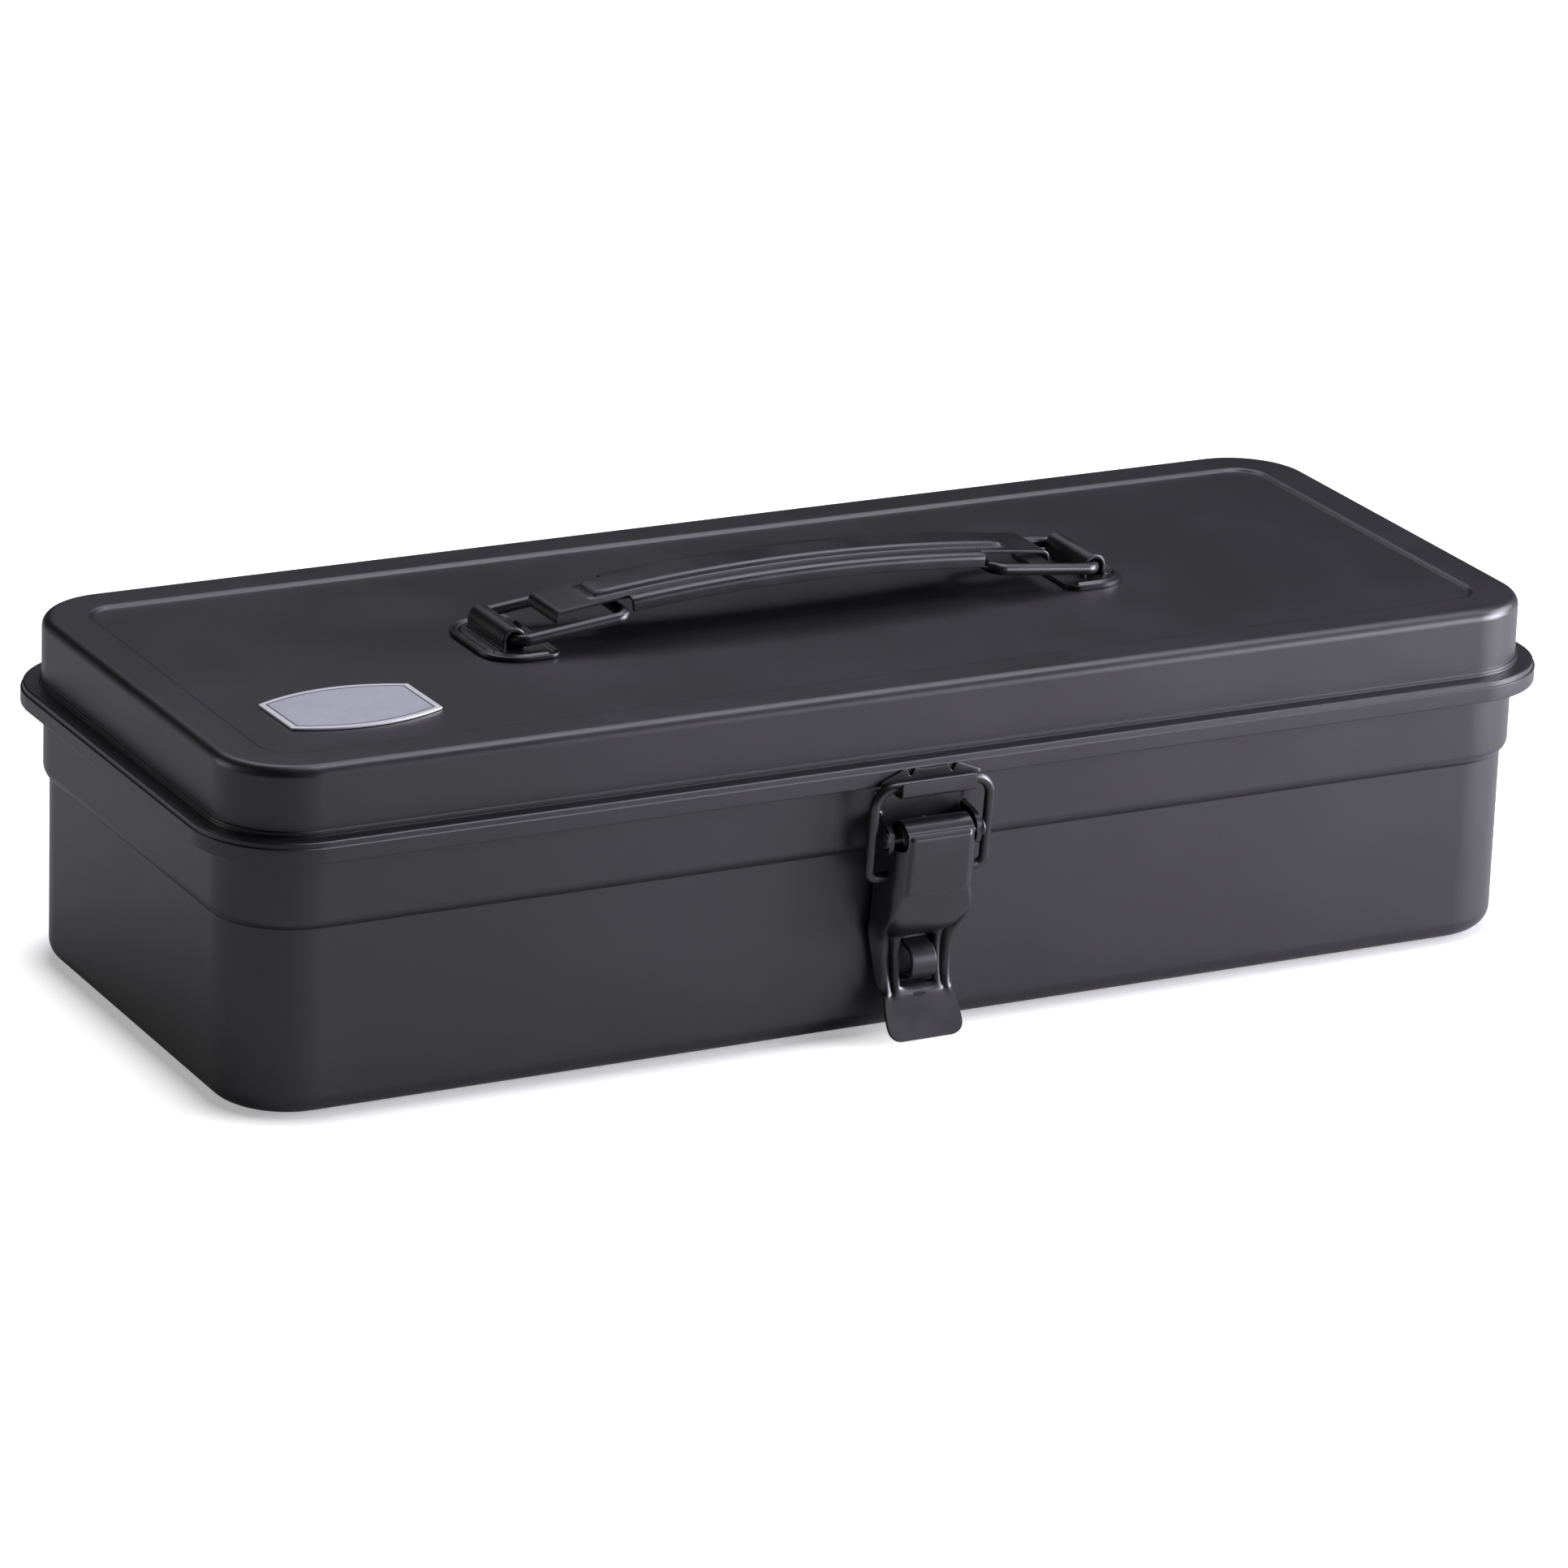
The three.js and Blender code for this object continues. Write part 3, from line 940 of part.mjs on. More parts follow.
/** The leaf on the tub, with the two outer knuckles. */
function makeBodyLeaf(centre) {
  const left = centre - HINGE_WIDTH / 2;
  const right = centre + HINGE_WIDTH / 2;
  const wallY = BAND_BACK_Y + SEAT_GAP + HINGE_SHEET / 2;
  const bridgeHeight = LIP_BOTTOM - HINGE_BRIDGE_CLEARANCE - HINGE_SHEET / 2;
  const barrelFoot = HINGE_HEIGHT - HINGE_BARREL_RADIUS + HINGE_SHEET / 2;
  const profile = bentSheet([[wallY, HINGE_BODY_FLAT_BOTTOM], [wallY, HINGE_BODY_FLAT_TOP],
    [THREE.MathUtils.lerp(wallY, HINGE_Y, HINGE_BRIDGE_SHARE), bridgeHeight - HINGE_SHEET / 2],
    [HINGE_Y, barrelFoot]], HINGE_SHEET);
  const middleCut = block(left + HINGE_OUTER_KNUCKLE, right - HINGE_OUTER_KNUCKLE,
    THREE.MathUtils.lerp(wallY, HINGE_Y, HINGE_TRIM_SHARE), HINGE_Y + HINGE_BARREL_RADIUS + CUT_OVERRUN,
    HINGE_BODY_FLAT_TOP, HINGE_HEIGHT + HINGE_BARREL_RADIUS);
  const sheet = cut(solid(extrudeX(profile, left, right)), middleCut);
  const first = knuckle(left, left + HINGE_OUTER_KNUCKLE);
  const second = knuckle(right - HINGE_OUTER_KNUCKLE, right);
  const drills = hingeRivetSides.map(([, offset]) => rivetDrill(centre + offset, BAND_BACK_Y,
    HINGE_BODY_RIVET_HEIGHT));
  return cut(join(sheet, first.tube, second.tube), first.bore, second.bore, ...drills);
}

/** The leaf on the lid, which steps over the flange and holds the middle knuckle. */
function makeLidLeaf(centre) {
  const left = centre - HINGE_WIDTH / 2;
  const right = centre + HINGE_WIDTH / 2;
  const wallY = LID_BACK_Y + SEAT_GAP + HINGE_SHEET / 2;
  const overFlange = FLANGE_TOP + HINGE_BRIDGE_CLEARANCE + HINGE_SHEET / 2;
  const outerY = HINGE_Y + HINGE_BARREL_RADIUS - HINGE_SHEET / 2;
  const flangeBackY = FLANGE_DEPTH / 2;
  const profile = bentSheet([[wallY, HINGE_LID_FLAT_TOP], [wallY, HINGE_LID_FLAT_BOTTOM],
    [THREE.MathUtils.lerp(wallY, flangeBackY, HINGE_BRIDGE_SHARE), overFlange],
    [flangeBackY + FLANGE_EDGE_RADIUS, overFlange],
    [outerY - HINGE_SHEET, THREE.MathUtils.lerp(overFlange, HINGE_HEIGHT, HINGE_CURL_SHARES[0])],
    [outerY, THREE.MathUtils.lerp(overFlange, HINGE_HEIGHT, HINGE_CURL_SHARES[1])],
    [outerY, HINGE_HEIGHT]], HINGE_SHEET);
  const midLeft = left + HINGE_OUTER_KNUCKLE + RUN_GAP;
  const midRight = right - HINGE_OUTER_KNUCKLE - RUN_GAP;
  const sideSpans = [[left - CUT_OVERRUN, midLeft], [midRight, right + CUT_OVERRUN]];
  const sideCuts = sideSpans.map(([x0, x1]) => block(x0, x1, flangeBackY,
    HINGE_Y + HINGE_BARREL_RADIUS + CUT_OVERRUN, HINGE_HEIGHT - HINGE_BARREL_RADIUS, overFlange + CUT_OVERRUN));
  const sheet = cut(solid(extrudeX(profile, left, right)), ...sideCuts);
  const middle = knuckle(midLeft, midRight);
  const drills = hingeRivetSides.map(([, offset]) => rivetDrill(centre + offset, LID_BACK_Y,
    HINGE_LID_RIVET_HEIGHT));
  return cut(join(sheet, middle.tube), middle.bore, ...drills);
}

/** The hinge pin with a head at each end. */
function makeHingePin(centre) {
  const headStart = HINGE_WIDTH / 2 + SEAT_GAP;
  const headEnd = headStart + HINGE_PIN_HEAD_LENGTH;
  const geometry = turnedX([
    [-headEnd, 0],
    [-headEnd, HINGE_PIN_HEAD_RADIUS],
    [-headStart, HINGE_PIN_HEAD_RADIUS],
    [-headStart, HINGE_PIN_RADIUS],
    [headStart, HINGE_PIN_RADIUS],
    [headStart, HINGE_PIN_HEAD_RADIUS],
    [headEnd, HINGE_PIN_HEAD_RADIUS],
    [headEnd, 0],
  ], 12);
  return geometry.translate(centre, HINGE_Y, HINGE_HEIGHT);
}

const toolBox = new THREE.Group();
toolBox.add(piece('body_tub', makeTub(), blackPaint));
toolBox.add(piece('lid_pan', makeLid(), blackPaint));

const label = piece('label_plate', makeLabel(), silverLabel);
label.position.set(PANEL_INSET + LABEL_END_MARGIN + LABEL_LENGTH / 2 - FLANGE_LENGTH / 2,
  PANEL_INSET + LABEL_FRONT_MARGIN + LABEL_WIDTH / 2 - FLANGE_DEPTH / 2, PANEL_TOP + SEAT_GAP);
label.rotation.z = LABEL_TILT;
toolBox.add(label);

for (const [side, sign] of [['left', -1], ['right', 1]]) {
  const bracket = piece(`handle_bracket_${side}`, makeBracket(), blackHardware);
  bracket.position.set(sign * RING_OUTER_BAR_X, 0, BRACKET_BOTTOM);
  bracket.rotation.z = sign < 0 ? Math.PI : 0;
  toolBox.add(bracket);
  const ring = piece(`handle_ring_${side}`, makeRing(), blackHardware);
  ring.position.set(sign * RING_OUTER_BAR_X, 0, RING_AXIS_HEIGHT);
  ring.rotation.set(0, RING_REST_ANGLE, sign < 0 ? Math.PI : 0, 'ZYX');
  toolBox.add(ring);
}
toolBox.add(piece('handle_grip', makeGrip(), blackHardware));

toolBox.add(piece('latch_base_plate', makeLatchBase(), blackHardware));
toolBox.add(piece('padlock_staple', makeStaple(), blackHardware));
toolBox.add(piece('latch_pivot_pin', makePivotPin(), steel));
toolBox.add(piece('latch_lever', makeLever(), blackHardware));
toolBox.add(piece('latch_bail', makeBail(), blackHardware));
toolBox.add(piece('latch_keeper', makeKeeper(), blackHardware));
for (const [name, x, z] of baseRivets) {
  const wallY = frontWallY(z);
  const headY = wallY - SEAT_GAP * 2 - BASE_SHEET;
  const tailY = wallY + BOX_SHEET + SEAT_GAP;
  toolBox.add(piece(name, rivet(x, headY, tailY, z), blackHardware));
}

for (const [side, centre] of hingeCentres) {
  toolBox.add(piece(`hinge_body_leaf_${side}`, makeBodyLeaf(centre), blackHardware));
  toolBox.add(piece(`hinge_lid_leaf_${side}`, makeLidLeaf(centre), blackHardware));
  toolBox.add(piece(`hinge_pin_${side}`, makeHingePin(centre), steel));
  for (const [place, offset] of hingeRivetSides) {
    const outside = SEAT_GAP * 2 + HINGE_SHEET;
    const inside = BOX_SHEET + SEAT_GAP;
    toolBox.add(piece(`hinge_body_rivet_${side}_${place}`, rivet(centre + offset, BAND_BACK_Y + outside,
      BAND_BACK_Y - inside, HINGE_BODY_RIVET_HEIGHT), blackHardware));
    toolBox.add(piece(`hinge_lid_rivet_${side}_${place}`, rivet(centre + offset, LID_BACK_Y + outside,
      LID_BACK_Y - inside, HINGE_LID_RIVET_HEIGHT), blackHardware));
  }
}

export default toolBox;
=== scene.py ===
"""The looks of a small black steel tool box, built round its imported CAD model.

Sizes are in millimetres, but for those whose names end in _m, which are in metres. Each piece is scaled to
metres as it becomes an object, and stands in the frame of the CAD model: +X to the right, +Y to the back, +Z
up, with the origin under the middle of the tub.
"""

import logging
import math
from collections.abc import Callable, Iterable, Sequence
from dataclasses import dataclass
from enum import Enum
from typing import Any

import bmesh
import bpy
from mathutils import Matrix, Vector

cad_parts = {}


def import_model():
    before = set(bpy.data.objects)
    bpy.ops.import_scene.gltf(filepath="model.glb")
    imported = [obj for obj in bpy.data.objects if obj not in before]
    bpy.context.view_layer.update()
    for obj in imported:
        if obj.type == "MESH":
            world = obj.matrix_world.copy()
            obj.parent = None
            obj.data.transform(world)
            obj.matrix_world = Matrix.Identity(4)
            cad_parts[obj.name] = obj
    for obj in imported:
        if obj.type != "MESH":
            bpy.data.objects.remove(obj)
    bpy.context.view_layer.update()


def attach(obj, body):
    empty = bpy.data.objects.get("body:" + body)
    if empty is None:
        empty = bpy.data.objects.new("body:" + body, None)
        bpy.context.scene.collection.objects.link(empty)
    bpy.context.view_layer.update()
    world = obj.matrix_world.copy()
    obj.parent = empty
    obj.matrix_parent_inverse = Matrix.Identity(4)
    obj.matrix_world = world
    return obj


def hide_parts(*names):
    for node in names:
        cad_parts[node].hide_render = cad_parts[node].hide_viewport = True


LOG = logging.getLogger("tool_box")
MM = 0.001
MERGE = 0.004  # Points nearer to each other than this are one.
WIRE_END = 0.16  # The share of a wire's diameter by which its ends are rounded.
WHITE = (1.0, 1.0, 1.0, 1.0)

Colour = tuple[float, float, float]
Edges = list[bmesh.types.BMEdge]
Bend = tuple[float, float, float]
Rule = Callable[[Vector], Sequence[float]]


class Side(Enum):
    """The two ends of the box, and the two sides of the latch."""

    LEFT = -1
    RIGHT = 1

    @property
    def label(self) -> str:
        """The word used in the names of the pieces."""
        return self.name.lower()


class Axis(Enum):
    """The axes of the frame."""

    X = (1.0, 0.0, 0.0)
    Y = (0.0, 1.0, 0.0)
    Z = (0.0, 0.0, 1.0)

    @property
    def vector(self) -> Vector:
        """The axis as a vector."""
        return Vector(self.value)


# Materials


class Number:
    """A number socket whose operators add Math nodes to its graph."""

    def __init__(self, graph: "Graph", socket: bpy.types.NodeSocket) -> None:
        """Wraps a socket.

        Args:
            graph: The graph that the socket is in.
            socket: The output socket that gives the number.
        """
        self.graph = graph
        self.socket = socket

    def _math(self, operation: str, *values: Any) -> "Number":
        """Adds one Math node.

        Args:
            operation: The operation of the node.
            *values: The numbers or sockets that it takes.

        Returns:
            The result of the node.
        """
        sockets = dict(enumerate(values))
        made = self.graph.node("ShaderNodeMath", {"operation": operation}, sockets)
        return Number(self.graph, made.outputs[0])

    def __add__(self, other: Any) -> "Number":
        """This plus another."""
        return self._math("ADD", self, other)

    def __radd__(self, other: Any) -> "Number":
        """Another plus this."""
        return self._math("ADD", other, self)

    def __sub__(self, other: Any) -> "Number":
        """This less another."""
        return self._math("SUBTRACT", self, other)

    def __rsub__(self, other: Any) -> "Number":
        """Another less this."""
        return self._math("SUBTRACT", other, self)

    def __mul__(self, other: Any) -> "Number":
        """This times another."""
        return self._math("MULTIPLY", self, other)

    def __rmul__(self, other: Any) -> "Number":
        """Another times this."""
        return self._math("MULTIPLY", other, self)

    def __gt__(self, other: Any) -> "Number":
        """One where this is greater, and zero elsewhere."""
        return self._math("GREATER_THAN", self, other)

    def __abs__(self) -> "Number":
        """The size of this number."""
        return self._math("ABSOLUTE", self)

    def root(self) -> "Number":
        """The square root of this number."""
        return self._math("SQRT", self)

    def ramp(self, low: float, high: float) -> "Number":
        """This number spread so that low gives zero and high gives one, held between them.

        Args:
            low: The value that gives zero.
            high: The value that gives one.

        Returns:
            The spread number.
        """
        sockets = {"Value": self, "From Min": low, "From Max": high}
        made = self.graph.node("ShaderNodeMapRange", {"interpolation_type": "SMOOTHSTEP"}, sockets)
        return Number(self.graph, made.outputs[0])

    def larger(self, other: Any) -> "Number":
        """The larger of this and another."""
        return self._math("MAXIMUM", self, other)

    def smaller(self, other: Any) -> "Number":
        """The smaller of this and another."""
        return self._math("MINIMUM", self, other)


class Graph:
    """The nodes of one material or of the world."""

    def __init__(self, tree: bpy.types.NodeTree) -> None:
        """Empties a node tree, ready for new nodes.

        Args:
            tree: The tree of a material or of the world.
        """
        self.tree = tree
        tree.nodes.clear()

    def node(self, kind: str, settings: dict[str, Any] | None = None,
             sockets: dict[Any, Any] | None = None) -> bpy.types.Node:
        """Adds a node.

        Args:
            kind: The type of the node.
            settings: Its settings by name, set first. A ramp's stops are given as "stops".
            sockets: The values or links of its input sockets, by name or index.

        Returns:
            The new node.
        """
        made = self.tree.nodes.new(kind)
        for name, value in (settings or {}).items():
            if name == "stops":
                self._set_stops(made.color_ramp, value)
            else:
                setattr(made, name, value)
        for key, value in (sockets or {}).items():
            socket = value.socket if isinstance(value, Number) else value
            if isinstance(socket, bpy.types.NodeSocket):
                self.tree.links.new(socket, made.inputs[key])
            else:
                made.inputs[key].default_value = socket
        return made

    @staticmethod
    def _set_stops(ramp: bpy.types.ColorRamp, stops: Sequence[tuple[float, Sequence[float]]]) -> None:
        """Gives a colour ramp its stops.

        Args:
            ramp: The ramp, which starts with two stops.
            stops: The position and the colour of each stop.
        """
        for _ in range(len(stops) - 2):
            ramp.elements.new(0.5)
        for element, (position, colour) in zip(ramp.elements, stops):
            element.position = position
            element.color = (*colour, 1.0)

    def places(self, centre: Sequence[float] = (0, 0, 0), turn: float = 0.0,
               scale: Sequence[float] = (1, 1, 1)) -> bpy.types.NodeSocket:
        """Object coordinates about a centre.

        Args:
            centre: The point in millimetres that becomes zero.
            turn: The angle in degrees that the pattern is turned about Z.
            scale: How much each axis is stretched.

        Returns:
            The vector socket.
        """
        coordinates = self.node("ShaderNodeTexCoord")
        moved = self.node("ShaderNodeMapping", {"vector_type": "POINT"}, {
            "Vector": coordinates.outputs["Object"], "Location": [-value * MM for value in centre]})
        turned = self.node("ShaderNodeMapping", {"vector_type": "POINT"}, {
            "Vector": moved.outputs[0], "Rotation": (0, 0, -math.radians(turn)), "Scale": scale})
        return turned.outputs[0]

    def noise(self, vector: bpy.types.NodeSocket, scale: float, detail: float = 2.0) -> Number:
        """Cloudy noise between zero and one.

        Args:
            vector: Where the noise is read.
            scale: How many features there are in a metre.
            detail: How many finer layers are added.

        Returns:
            The noise.
        """
        made = self.node("ShaderNodeTexNoise", {"noise_dimensions": "3D"},
                         {"Vector": vector, "Scale": scale, "Detail": detail, "Roughness": 0.55})
        return Number(self, made.outputs["Fac"])

    def mix(self, share: Number, first: Sequence[float], second: Any) -> bpy.types.NodeSocket:
        """Mixes two colours.

        Args:
            share: How much of the second colour there is.
            first: The first colour, or a socket.
            second: The second colour, or a socket.

        Returns:
            The colour socket.
        """
        made = self.node("ShaderNodeMix", {"data_type": "RGBA"}, {
            0: share, 6: self._colour(first), 7: self._colour(second)})
        return made.outputs[2]

    @staticmethod
    def _colour(value: Any) -> Any:
        """A colour with its alpha, or the socket as it is."""
        return value if isinstance(value, bpy.types.NodeSocket) else (*value, 1.0)

    def bump(self, height: Number, strength: float, distance: float) -> bpy.types.NodeSocket:
        """A surface raised by a height.

        Args:
            height: The height between zero and one.
            strength: How strongly it shows.
            distance: What a height of one stands for, in millimetres.

        Returns:
            The normal socket.
        """
        made = self.node("ShaderNodeBump", None, {
            "Height": height, "Strength": strength, "Distance": distance * MM})
        return made.outputs[0]

    def surface(self, sockets: dict[str, Any]) -> None:
        """Ends the graph in one Principled shader.

        Args:
            sockets: The values or links of the shader's sockets.
        """
        shader = self.node("ShaderNodeBsdfPrincipled", None, sockets)
        self.node("ShaderNodeOutputMaterial", None, {"Surface": shader.outputs[0]})


def new_material(name: str) -> tuple[bpy.types.Material, Graph]:
    """Starts a material with an empty graph.

    Args:
        name: The name of the material.

    Returns:
        The material and its graph.
    """
    material = bpy.data.materials.new(name)
    material.use_nodes = True
    return material, Graph(material.node_tree)


@dataclass(frozen=True)
class PowderCoat:
    """A satin black powder coat: a fine even grain, with a faint cloudiness left by the spray gun."""

    name: str = "black_powder_coat"
    deep: Colour = (0.0110, 0.0105, 0.0130)
    pale: Colour = (0.0145, 0.0139, 0.0168)
    roughness: float = 0.33
    cloud_roughness: float = 0.03
    grain_roughness: float = 0.06
    specular: float = 0.68
    clouds: float = 26.0
    cloud_shade: float = 0.7
    specks: float = 1500.0
    speck_shade: float = 0.5
    grain: float = 2600.0
    grain_height: float = 0.6
    orange_peel: float = 420.0
    peel_height: float = 0.9
    relief: float = 0.32
    relief_depth: float = 0.05

    def build(self) -> bpy.types.Material:
        """Makes the material.

        Returns:
            The material.
        """
        material, graph = new_material(self.name)
        places = graph.places()
        grain = graph.noise(places, self.grain, 3.0)
        peel = graph.noise(places, self.orange_peel, 1.0)
        cloud = graph.noise(places, self.clouds, 2.0).ramp(0.3, 0.7)
        speck = graph.noise(places, self.specks, 1.0).ramp(0.62, 0.74)
        paler = cloud * self.cloud_shade + speck * self.speck_shade
        height = grain * self.grain_height + peel * self.peel_height
        graph.surface({
            "Base Color": graph.mix(paler, self.deep, self.pale),
            "Roughness": self.roughness + cloud * self.cloud_roughness + grain * self.grain_roughness,
            "Specular IOR Level": self.specular,
            "Normal": graph.bump(height, self.relief, self.relief_depth),
        })
        return material


@dataclass(frozen=True)
class HardwareEnamel:
    """The black baked enamel of the latch, the handle and the hinges, a little smoother than the box."""

    name: str = "black_hardware_enamel"
    deep: Colour = (0.0085, 0.0082, 0.0100)
    pale: Colour = (0.0125, 0.0120, 0.0145)
    roughness: float = 0.29
    cloud_roughness: float = 0.05
    grain_roughness: float = 0.05
    specular: float = 0.72
    clouds: float = 90.0
    grain: float = 3200.0
    grain_height: float = 0.4
    waves: float = 300.0
    relief: float = 0.16
    relief_depth: float = 0.05

    def build(self) -> bpy.types.Material:
        """Makes the material.

        Returns:
            The material.
        """
        material, graph = new_material(self.name)
        places = graph.places()
        grain = graph.noise(places, self.grain, 2.0)
        waves = graph.noise(places, self.waves, 1.0)
        cloud = graph.noise(places, self.clouds, 2.0).ramp(0.35, 0.7)
        graph.surface({
            "Base Color": graph.mix(cloud, self.deep, self.pale),
            "Roughness": self.roughness + cloud * self.cloud_roughness + grain * self.grain_roughness,
            "Specular IOR Level": self.specular,
            "Normal": graph.bump(grain * self.grain_height + waves, self.relief, self.relief_depth),
        })
        return material


@dataclass(frozen=True)
class BlackenedSteel:
    """Blackened steel of pins, worn a little brighter in patches."""

    name: str = "blackened_steel"
    dark: Colour = (0.045, 0.045, 0.05)
    worn: Colour = (0.16, 0.16, 0.17)
    metallic: float = 0.4
    worn_metallic: float = 0.4
    roughness: float = 0.33
    scratch_roughness: float = 0.12
    patches: float = 700.0
    scratches: float = 1800.0
    scratch_stretch: tuple[float, float, float] = (1, 1, 6)
    relief: float = 0.12
    relief_depth: float = 0.03

    def build(self) -> bpy.types.Material:
        """Makes the material.

        Returns:
            The material.
        """
        material, graph = new_material(self.name)
        places = graph.places()
        patch = graph.noise(places, self.patches, 3.0).ramp(0.5, 0.75)
        scratches = graph.noise(graph.places(scale=self.scratch_stretch), self.scratches, 2.0)
        graph.surface({
            "Base Color": graph.mix(patch, self.dark, self.worn),
            "Metallic": self.metallic + patch * self.worn_metallic,
            "Roughness": self.roughness + scratches * self.scratch_roughness,
            "Normal": graph.bump(scratches, self.relief, self.relief_depth),
        })
        return material


@dataclass(frozen=True)
class BrushedPlate:
    """A thin brushed plate, blank inside a fine dark line and a pale edge."""

    centre: tuple[float, float, float]
    half_length: float
    half_width: float
    bow: float
    turn: float
    name: str = "brushed_label_plate"
    field_colour: Colour = (0.52, 0.53, 0.59)
    edge_colour: Colour = (0.80, 0.80, 0.82)
    line_colour: Colour = (0.07, 0.075, 0.10)
    edge_width: float = 1.3
    edge_softness: float = 0.1
    edge_gloss: float = 0.1
    edge_height: float = 0.8
    line_width: float = 0.55
    line_shade: float = 0.85
    metallic: float = 0.25
    roughness: float = 0.38
    tones: float = 120.0
    tone_shade: float = 0.10
    tone_roughness: float = 0.05
    brush: float = 9000.0
    brush_stretch: tuple[float, float, float] = (0.06, 1, 1)
    brush_shade: float = 0.08
    brush_roughness: float = 0.12
    relief: float = 0.2
    relief_depth: float = 0.03

    def build(self) -> bpy.types.Material:
        """Makes the material.

        Returns:
            The material.
        """
        material, graph = new_material(self.name)
        places = graph.places(self.centre, self.turn)
        split = graph.node("ShaderNodeSeparateXYZ", None, {"Vector": places})
        across = Number(graph, split.outputs["X"])
        along = abs(Number(graph, split.outputs["Y"]))
        share = across * (1 / (self.half_length * MM))
        rim = (self.half_width + self.bow) * MM - self.bow * MM * share * share
        inside = (self.half_length * MM - abs(across)).smaller(rim - along)
        edge = self._within(inside, self.edge_width)
        line = (1 - edge) * self._within(inside, self.edge_width + self.line_width)
        brushed = graph.noise(graph.places(self.centre, self.turn, self.brush_stretch), self.brush, 2.0)
        tone = graph.noise(places, self.tones, 2.0).ramp(0.3, 0.7)
        darker = tone * self.tone_shade + brushed * self.brush_shade
        lined = graph.mix(line * self.line_shade, graph.mix(darker, self.field_colour, self.line_colour),
                          self.line_colour)
        rough = self.roughness + brushed * self.brush_roughness + tone * self.tone_roughness
        graph.surface({
            "Base Color": graph.mix(edge, lined, self.edge_colour),
            "Metallic": self.metallic,
            "Roughness": rough - edge * self.edge_gloss,
            "Normal": graph.bump(brushed + edge * self.edge_height, self.relief, self.relief_depth),
        })
        return material

    def _within(self, inside: Number, width: float) -> Number:
        """One within a width of the plate's edge, and zero further in."""
        return 1 - inside.ramp((width - self.edge_softness) * MM, (width + self.edge_softness) * MM)


@dataclass(frozen=True)
class Look:
    """What a piece is to the frame: its body, its slot, which nothing reads, its material and the nodes that
    it stands for.
    """

    body: str
    slot: str
    material: bpy.types.Material
    replaces: tuple[str, ...]


@dataclass(frozen=True)
class Finishes:
    """The finishes of the box, each made once."""

    coat: bpy.types.Material
    enamel: bpy.types.Material
    steel: bpy.types.Material

    @classmethod
    def make(cls) -> "Finishes":
        """Makes the shared finishes."""
        return cls(PowderCoat().build(), HardwareEnamel().build(), BlackenedSteel().build())

    def coated(self, body: str, *nodes: str) -> Look:
        """The look of a drawn shell on a body."""
        return Look(body, "black_powder_coat", self.coat, nodes)

    def enamelled(self, body: str, *nodes: str) -> Look:
        """The look of a pressed or bent part on a body."""
        return Look(body, "black_hardware", self.enamel, nodes)

    def blackened(self, body: str, *nodes: str) -> Look:
        """The look of a pin on a body."""
        return Look(body, "dark_steel", self.steel, nodes)


# Modelling


def unique(items: Iterable[Any]) -> list[Any]:
    """The items once each, in the order in which they first come, so that every run is the same."""
    return list(dict.fromkeys(items))


def mirrored(half: Sequence[Bend]) -> list[Bend]:
    """A profile's first half, and after it the second, with the first coordinate turned round."""
    return [*half, *((-a, b, radius) for a, b, radius in reversed(half))]


